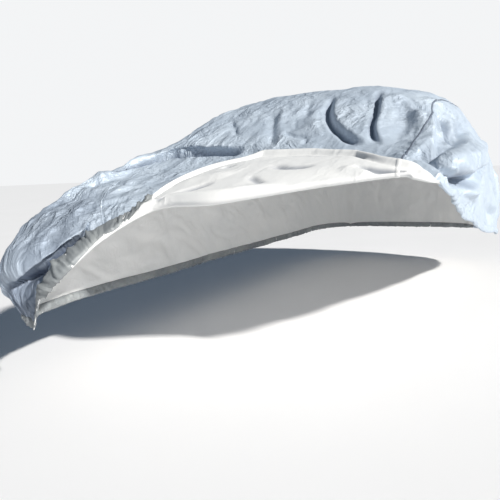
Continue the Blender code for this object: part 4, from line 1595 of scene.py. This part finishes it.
@dataclass
class HemCasing:
    """An elastic casing along a free edge: cloth turned over the edge and gathered.

    Attributes:
        name: Name of the piece.
        edge: Border of the grid that it follows.
        start: Where it begins along the border, a rib or line place.
        end: Where it ends.
        width: How far the casing reaches in from the edge.
        puff: Height of the casing's crown above the cloth.
        pitch: Usual distance from one gather to the next.
        depth: Depth of the gathers.
        step: Distance from one row of vertices to the next along the casing.
        ring: Vertices from the edge inwards on each face.
    """

    name: str
    edge: Edge
    start: float
    end: float
    width: float = 0.045
    puff: float = 0.006
    pitch: float = 0.024
    depth: float = 0.005
    step: float = 0.0055
    ring: int = 9

    BORDER_DEPTH = 14  # rows or columns of the form that are read in from a plain border
    END_RUN = 0.04  # distance over which the casing thins out at each end
    END_HEIGHT = 0.0012  # height of its faces over the cloth at the ends
    CROWN_MIDDLE = 0.45  # where the crown is highest, as a share of the width
    CROWN_DROP = 0.8  # how strongly the crown falls off to its sides
    CROWN_LEAST = 0.15  # least height of the crown, as a share of the puff
    LIP = 0.004  # how far the rounded edge stands out past the cloth's own
    LIP_GATHER = 0.5  # share of the gathers that the rounded edge follows
    LIP_PLACE = -0.1  # place of the rounded edge on the cloth, in widths
    INNER_PLACE = -0.2  # place at which the inner face starts, in widths
    GATHERS = 2.2  # gathers made for each pitch of length
    GATHER_WIDTH = (0.22, 0.50)  # half width of the narrowest and the widest gather, in pitches
    GATHER_SLANT = 0.35  # usual slant of a gather
    GATHER_HEIGHT = (0.4, 1.1)  # lowest and highest gather, in depths
    GATHER_SIGNS = (-1.0, 1.0, 1.0)  # two gathers stand up for each that sinks in
    GATHER_MIDDLE = (0.1, 0.9)  # where the middle of a gather lies, as a share of the width
    GATHER_EXTENT = (0.3, 0.8)  # how far a gather reaches from its middle, as a share of the width
    GATHER_FADE = 0.75  # how much the gathers have faded at the inner side

    def border(self, form: CoverForm) -> tuple[np.ndarray, np.ndarray]:
        """The cloth beside the border, from the edge inwards.

        Args:
            form: The shaped cover.

        Returns:
            Points and outward normals, along by inwards by 3.
        """
        points, normals = form.points, form.normals
        if self.edge in (Edge.TURNED, Edge.TAIL):
            points, normals = points.transpose(1, 0, 2), normals.transpose(1, 0, 2)
        if self.edge in (Edge.TAIL, Edge.FAR):
            points, normals = points[:, ::-1], normals[:, ::-1]
        deep = form.turn_starts if self.edge is Edge.TURNED else self.BORDER_DEPTH
        places = form.lines if self.edge in (Edge.TURNED, Edge.TAIL) else form.cloth.rows
        kept = (places >= self.start) & (places <= self.end)
        return points[kept, :deep], normals[kept, :deep]

    def build(self, form: CoverForm, cloth: bpy.types.Material, seed: int) -> bpy.types.Object:
        """Makes the gathered casing.

        Args:
            form: The shaped cover.
            cloth: Material of the casing.
            seed: Seed of the gathers' random draws.

        Returns:
            The casing.
        """
        points, normals = self.border(form)
        lengths = run_lengths(points[:, 0])
        count = max(8, int(lengths[-1] / self.step))
        along = np.linspace(0.0, lengths[-1], count)
        inward = np.linspace(0.0, 1.0, self.ring)
        wanted = inward * self.width
        at_depth = np.empty((len(points), self.ring, 3))
        up = np.empty_like(at_depth)
        for index in range(len(points)):
            deep = run_lengths(points[index])
            for axis in range(3):
                at_depth[index, :, axis] = np.interp(wanted, deep, points[index, :, axis])
                up[index, :, axis] = np.interp(wanted, deep, normals[index, :, axis])
        fine = np.empty((count, self.ring, 3))
        fine_up = np.empty_like(fine)
        for ring in range(self.ring):
            for axis in range(3):
                fine[:, ring, axis] = np.interp(along, lengths, at_depth[:, ring, axis])
                fine_up[:, ring, axis] = np.interp(along, lengths, up[:, ring, axis])
        fine_up = unit(fine_up)
        gather = self._gathers(along, inward, seed)
        taper = ease(np.minimum(along, lengths[-1] - along) / self.END_RUN)[:, None]
        drop = self.CROWN_DROP * (2.0 * (inward - self.CROWN_MIDDLE)) ** 4
        crown = self.puff * (1.0 - drop).clip(self.CROWN_LEAST, 1.0)[None]
        height = (self.END_HEIGHT + (crown + gather) * taper)[..., None]
        outer = fine + height * fine_up
        inner = fine - height * fine_up
        edge_out = unit(fine[:, 0] - fine[:, 1])
        reach = (self.LIP + self.LIP_GATHER * gather[:, :1]) * taper
        lip = fine[:, :1] + reach[..., None] * edge_out[:, None]
        strip = np.concatenate((outer[:, ::-1], lip, inner), axis=1)
        across = np.concatenate((inward[::-1], (self.LIP_PLACE,), self.INNER_PLACE - inward))
        places = np.stack(np.broadcast_arrays(across[None] * self.width, along[:, None]), axis=2)
        faces = [tuple(reversed(face)) for face in grid_faces(count, strip.shape[1])]
        if self.edge in (Edge.FAR, Edge.TURNED):
            faces = [tuple(reversed(face)) for face in faces]
        return make_mesh(self.name, strip.reshape(-1, 3), faces, places, (cloth,))

    def _gathers(self, along: np.ndarray, inward: np.ndarray, seed: int) -> np.ndarray:
        """Height of the gathers over the casing.

        Args:
            along: Distance of each row of vertices from the casing's start, in metres.
            inward: Place of each vertex in a row, from 0 at the edge to 1.
            seed: Seed of the gathers' random draws.

        Returns:
            The height, along by inwards, in metres.
        """
        draws = np.random.default_rng(seed)
        relief = np.zeros((len(along), len(inward)))
        total = along[-1]
        for _ in range(int(self.GATHERS * total / self.pitch)):
            centre = draws.uniform(0.0, total)
            width = self.pitch * draws.uniform(*self.GATHER_WIDTH)
            slant = draws.normal() * self.GATHER_SLANT
            height = self.depth * draws.uniform(*self.GATHER_HEIGHT) * draws.choice(self.GATHER_SIGNS)
            middle = draws.uniform(*self.GATHER_MIDDLE)
            extent = draws.uniform(*self.GATHER_EXTENT)
            run = (along[:, None] - centre - slant * self.width * (inward[None] - 0.5)) / width
            across = (inward[None] - middle) / extent
            relief += height * np.exp(-(run**2) - across**4)
        return relief * (1.0 - self.GATHER_FADE * inward[None] ** 3)


@dataclass
class FelledSeam:
    """A flat-felled seam between two panels, with two rows of stitches and a tape inside.

    Attributes:
        name: Name of the piece.
        line: Line that the seam follows.
        dark: Whether its band is painted dark, as painted shade along the seam.
        bare: Distance from the free edge that the tape leaves bare.
        width: Width of the raised band.
        height: How far the band stands proud of the cloth.
        stitch: Length of one stitch.
        gap: Distance from one stitch to the next.
        thread: Thickness of the sewing thread.
    """

    name: str
    line: Line
    dark: bool
    bare: float
    width: float = 0.011
    height: float = 0.0016
    stitch: float = 0.0042
    gap: float = 0.0022
    thread: float = 0.0009

    STEP = 0.010  # distance from one section of the band to the next
    FOOT = 0.0004  # how deep the sides of a band or tape sink into the cloth
    SHOULDER = 0.8  # width of its top, as a share of its own
    TAPE_WIDTH = 1.8  # width of the tape, in widths of the band
    TAPE_HEIGHT = 0.0012  # how far the tape stands proud of the cloth
    ROWS = (-0.30, 0.30)  # where the rows of stitches run, in widths from the middle

    def path(self, form: CoverForm, step: float) -> tuple[np.ndarray, np.ndarray, np.ndarray]:
        """Evenly spaced points along the seam.

        Args:
            form: The shaped cover.
            step: Distance from one point to the next, in metres.

        Returns:
            The points, with their outward and sideways directions.
        """
        column, first = form.column(self.line), form.turn_starts
        points, normals, sides = self._beside(form, slice(first, None), column)
        lengths = run_lengths(points)
        along = np.arange(0.0, lengths[-1], step)
        read = [
            np.stack([np.interp(along, lengths, values[:, axis]) for axis in range(3)], axis=1)
            for values in (points, normals, sides)
        ]
        return read[0], unit(read[1]), unit(read[2])

    def _beside(
        self, form: CoverForm, rows: slice, column: int
    ) -> tuple[np.ndarray, np.ndarray, np.ndarray]:
        """Points of a column with their normals and sideways directions.

        Args:
            form: The shaped cover.
            rows: Rows to read.
            column: Column to read.

        Returns:
            The points, the outward normals, and the directions towards the next column.
        """
        sides = unit(form.points[rows, column + 1] - form.points[rows, column - 1])
        return form.points[rows, column], form.normals[rows, column], sides

    def _strip(
        self, points: np.ndarray, outward: np.ndarray, sides: np.ndarray, half: float, height: float
    ) -> tuple[np.ndarray, np.ndarray]:
        """A low strip of cloth along a run, its sides sunk a little into the cloth below.

        Args:
            points: Points along the run.
            outward: Direction in which the strip stands proud, at each point.
            sides: Sideways direction at each point.
            half: Half its width, negative to turn its faces over.
            height: How far its top stands proud of the cloth, in metres.

        Returns:
            Vertices, along by across by 3, and the distance across of each.
        """
        top = self.SHOULDER * half
        section = ((-half, -self.FOOT), (-top, height), (top, height), (half, -self.FOOT))
        ring = [points + across * sides + (up + HALF_CLOTH) * outward for across, up in section]
        return np.stack(ring, axis=1), np.array([place[0] for place in section])

    def tape(self, form: CoverForm, cloth: bpy.types.Material) -> bpy.types.Object:
        """The flat tape over the joint on the inner face of the turned-back cloth.

        Args:
            form: The shaped cover.
            cloth: Material of the tape.

        Returns:
            The tape.
        """
        column, last = form.column(self.line), form.turn_starts
        along = form.measured[:last, column, 1]
        first = int((along < along[0] + self.bare).sum())
        points, outward, sides = self._beside(form, slice(first, last), column)
        half = 0.5 * self.TAPE_WIDTH * self.width
        strip, _ = self._strip(points, -outward, sides, -half, self.TAPE_HEIGHT)
        faces = grid_faces(*strip.shape[:2])
        return make_mesh(self.name.replace("band", "tape"), strip.reshape(-1, 3), faces, None, (cloth,))

    def build(self, form: CoverForm, cloth: bpy.types.Material) -> bpy.types.Object:
        """The raised band, a low strip along the seam.

        Args:
            form: The shaped cover.
            cloth: Material of the band.

        Returns:
            The band.
        """
        points, outward, sides = self.path(form, self.STEP)
        strip, across = self._strip(points, outward, sides, 0.5 * self.width, self.height)
        along = self.STEP * np.arange(len(points))
        places = np.stack(np.broadcast_arrays(across[None], along[:, None]), axis=2)
        return make_mesh(self.name, strip.reshape(-1, 3), grid_faces(*strip.shape[:2]), places, (cloth,))

    def stitches(self, form: CoverForm, thread: bpy.types.Material) -> bpy.types.Object:
        """Both rows of stitches as one joined mesh.

        Args:
            form: The shaped cover.
            thread: Material of the stitches.

        Returns:
            The stitches.
        """
        half_pitch = 0.5 * (self.stitch + self.gap)
        points, outward, sides = self.path(form, half_pitch)
        half = 0.5 * self.thread
        vertices, faces = [], []
        for row in self.ROWS:
            for index in range(0, len(points) - 2, 2):
                up, side = outward[index], sides[index]
                start = points[index] + row * self.width * side
                towards = points[index + 1] + row * self.width * sides[index + 1] - start
                end = start + towards * self.stitch / half_pitch
                middle = 0.5 * (start + end)
                lift = (self.height + HALF_CLOTH) * up
                base = len(vertices)
                vertices += [start + lift, end + lift]
                vertices += [middle + lift + half * side, middle + lift - half * side]
                vertices += [middle + lift + self.thread * up]
                faces += [
                    (base, base + 3, base + 4), (base, base + 4, base + 2),
                    (base + 1, base + 4, base + 3), (base + 1, base + 2, base + 4),
                    (base, base + 2, base + 1), (base, base + 1, base + 3),
                ]
        return make_mesh(self.name + "_stitches", np.array(vertices), faces, None, (thread,))


class LampKind(Enum):
    """The kinds of lamp that light the cover."""

    SUN = "SUN"
    SOFT_BOX = "AREA"


@dataclass(frozen=True)
class Lamp:
    """A lamp that looks at the cover's middle.

    Attributes:
        name: Name of the lamp.
        kind: SUN for parallel light, SOFT_BOX for a square of it.
        toward: Direction from the cover to the lamp.
        strength: Irradiance of a sun, or power of a soft box.
        spread: Angle of a sun in degrees, or width of a soft box in metres.
        colour: Colour of the light.
    """

    name: str
    kind: LampKind
    toward: Point
    strength: float
    spread: float
    colour: Point

    def place(self, target: Point, distance: float) -> None:
        """Adds the lamp to the scene.

        Args:
            target: What it looks at.
            distance: How far from there it stands, in metres.
        """
        data = bpy.data.lights.new(self.name, self.kind.value)
        data.energy = self.strength
        data.color = self.colour
        if self.kind is LampKind.SUN:
            data.angle = math.radians(self.spread)
        else:
            data.size = self.spread
        lamp = bpy.data.objects.new(self.name, data)
        direction = Vector(self.toward).normalized()
        lamp.location = Vector(target) + distance * direction
        lamp.rotation_euler = direction.to_track_quat("Z", "Y").to_euler()
        bpy.context.scene.collection.objects.link(lamp)


LAMPS = (
    Lamp("key", LampKind.SUN, toward=(0.80, -0.18, 0.54), strength=4.9, spread=3.0,
         colour=(1.0, 0.97, 0.92)),
    Lamp("side", LampKind.SOFT_BOX, toward=(0.97, 0.10, 0.22), strength=13.0, spread=5.0,
         colour=(0.93, 1.0, 0.98)),
    Lamp("fill", LampKind.SOFT_BOX, toward=(-0.55, -0.75, 0.45), strength=4.0, spread=6.0,
         colour=(0.50, 0.70, 1.0)),
)


@dataclass
class Studio:
    """The camera, a pale floor, the lamps and a pale surround.

    Attributes:
        camera_at: Where the camera stands.
        azimuth: Its heading in degrees, 0 looking along +Y.
        elevation: How far it stands above the level, in degrees.
        roll: How far it leans, in degrees.
        lens: Focal length on the sensor.
        sensor: Width of the camera's sensor, in millimetres.
        floor_height: Height of the floor.
        floor_reach: Half the width of the floor.
        lamp_target: What the lamps look at.
        lamp_distance: How far from there they stand.
        glow: Colour of the surround's light.
        glow_strength: Strength of that light.
        backdrop: Colour of the surround where it is seen.
    """

    camera_at: Point = (1.256, -3.474, -0.5185)
    azimuth: float = 30.441
    elevation: float = 8.384
    roll: float = -2.4
    lens: float = 37.02
    sensor: float = 36.0
    floor_height: float = -SEAT_HEIGHT
    floor_reach: float = 300.0
    lamp_target: Point = (0.0, -0.6, -0.4)
    lamp_distance: float = 9.0
    glow: Point = (0.58, 0.76, 1.0)
    glow_strength: float = 0.15
    backdrop: Point = (0.90, 0.91, 0.92)

    def aim(self) -> Matrix:
        """The camera's place and turn, from its heading, elevation and roll.

        Returns:
            The camera's world matrix.
        """
        a, e, r = (math.radians(value) for value in (self.azimuth, self.elevation, self.roll))
        back = Vector((math.sin(a) * math.cos(e), -math.cos(a) * math.cos(e), math.sin(e)))
        right = Vector((math.cos(a), math.sin(a), 0.0))
        up = back.cross(right)
        leaned_right = math.cos(r) * right + math.sin(r) * up
        leaned_up = -math.sin(r) * right + math.cos(r) * up
        turn = Matrix((leaned_right, leaned_up, back)).transposed()
        return Matrix.Translation(self.camera_at) @ turn.to_4x4()

    def place_camera(self) -> None:
        """Adds the camera and looks through it."""
        data = bpy.data.cameras.new("camera")
        data.lens = self.lens
        data.sensor_width = self.sensor
        camera = bpy.data.objects.new("camera", data)
        camera.matrix_world = self.aim()
        bpy.context.scene.collection.objects.link(camera)
        bpy.context.scene.camera = camera

    def build_floor(self) -> bpy.types.Object:
        """A broad pale floor.

        Returns:
            The floor.
        """
        half, height = self.floor_reach, self.floor_height
        corners = ((-half, -half), (half, -half), (half, half), (-half, half))
        points = np.array([(x, y, height) for x, y in corners])
        return make_mesh("studio_floor", points, [(0, 1, 2, 3)], None, (MattFloor().build(),))

    def light_world(self) -> None:
        """Surrounds the scene with a weak glow, and with a plain backdrop where it is seen."""
        world = bpy.data.worlds.new("surround")
        world.use_nodes = True
        nodes, links = world.node_tree.nodes, world.node_tree.links
        glow = nodes["Background"]
        glow.inputs["Color"].default_value = (*self.glow, 1.0)
        glow.inputs["Strength"].default_value = self.glow_strength
        backdrop = nodes.new("ShaderNodeBackground")
        backdrop.inputs["Color"].default_value = (*self.backdrop, 1.0)
        seen = nodes.new("ShaderNodeLightPath")
        mix = nodes.new("ShaderNodeMixShader")
        links.new(seen.outputs["Is Camera Ray"], mix.inputs["Fac"])
        links.new(glow.outputs["Background"], mix.inputs[1])
        links.new(backdrop.outputs["Background"], mix.inputs[2])
        links.new(mix.outputs["Shader"], nodes["World Output"].inputs["Surface"])
        bpy.context.scene.world = world
        bpy.context.scene.view_settings.view_transform = "Standard"

    def build(self) -> None:
        """Everything round the cover."""
        self.place_camera()
        self.light_world()
        for lamp in LAMPS:
            lamp.place(self.lamp_target, self.lamp_distance)
        self.build_floor()


PANELS = (
    Panel("near_panel", Line.NEAR_HEM, Line.NEAR_SEAM, flat=(1.03, 4.40), area=2.99),
    Panel("centre_panel", Line.NEAR_SEAM, Line.FAR_SEAM, flat=(1.84, 5.37), area=6.73),
    Panel("far_panel", Line.FAR_SEAM, Line.FAR_HEM, flat=(1.14, 5.33), area=4.44),
)

HEM_CASINGS = {
    "near_panel": (
        HemCasing("near_hem_casing", Edge.NEAR, start=0.6, end=13.0, pitch=0.040, depth=0.0025),
        HemCasing("near_tail_casing", Edge.TAIL, start=0.0, end=3.0),
    ),
    "centre_panel": (
        HemCasing("centre_turned_casing", Edge.TURNED, start=6.05, end=7.0,
                  width=0.100, pitch=0.020, depth=0.008, ring=13),
        HemCasing("centre_tail_casing", Edge.TAIL, start=3.0, end=7.0),
    ),
    "far_panel": (
        HemCasing("far_turned_casing", Edge.TURNED, start=7.0, end=9.1,
                  width=0.100, pitch=0.020, depth=0.008, ring=13),
        HemCasing("far_corner_casing", Edge.TURNED, start=9.05, end=10.0,
                  width=0.028, puff=0.003, depth=0.003),
        HemCasing("far_hem_casing", Edge.FAR, start=0.0, end=13.0),
        HemCasing("far_tail_casing", Edge.TAIL, start=7.0, end=10.0),
    ),
}

SEAMS = {
    "near_panel": FelledSeam("near_seam_band", Line.NEAR_SEAM, dark=True, bare=0.0),
    "far_panel": FelledSeam("far_seam_band", Line.FAR_SEAM, dark=False, bare=0.105),
}

GATHER_SEED = 100  # the casings' own seeds count up from here


def settle(piece: bpy.types.Object) -> None:
    """Puts a piece on the cover's body."""
    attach(piece, BODY)


def main() -> None:
    """Builds the cover, its casings and seams, and the studio."""
    Studio().build()
    form = CoverForm()
    form.build()
    silver, white = SILVER_FACE.build(), INNER_FACE.build()
    hem_cloth, thread = HEM_CLOTH.build(), Thread().build()
    seam_painted_shade = SEAM_PAINTED_SHADE.build()
    seed = GATHER_SEED
    for panel in PANELS:
        sheet = panel.build(form, (silver, white))
        settle(sheet)
        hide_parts(panel.node)
        extras = []
        for casing in HEM_CASINGS[panel.node]:
            seed += 1
            casing_cloth = silver if casing.edge is Edge.NEAR else hem_cloth
            extras.append(casing.build(form, casing_cloth, seed))
        seam = SEAMS.get(panel.node)
        if seam is not None:
            # A dark band carries painted shade along the seam line.
            band_cloth = seam_painted_shade if seam.dark else silver
            extras += [seam.build(form, band_cloth), seam.stitches(form, thread), seam.tape(form, white)]
        for piece in extras:
            settle(piece)
            LOG.info("%s: %d faces", piece.name, len(piece.data.polygons))
        LOG.info("%s: %d faces", sheet.name, len(sheet.data.polygons))


if __name__ == "__main__":
    main()
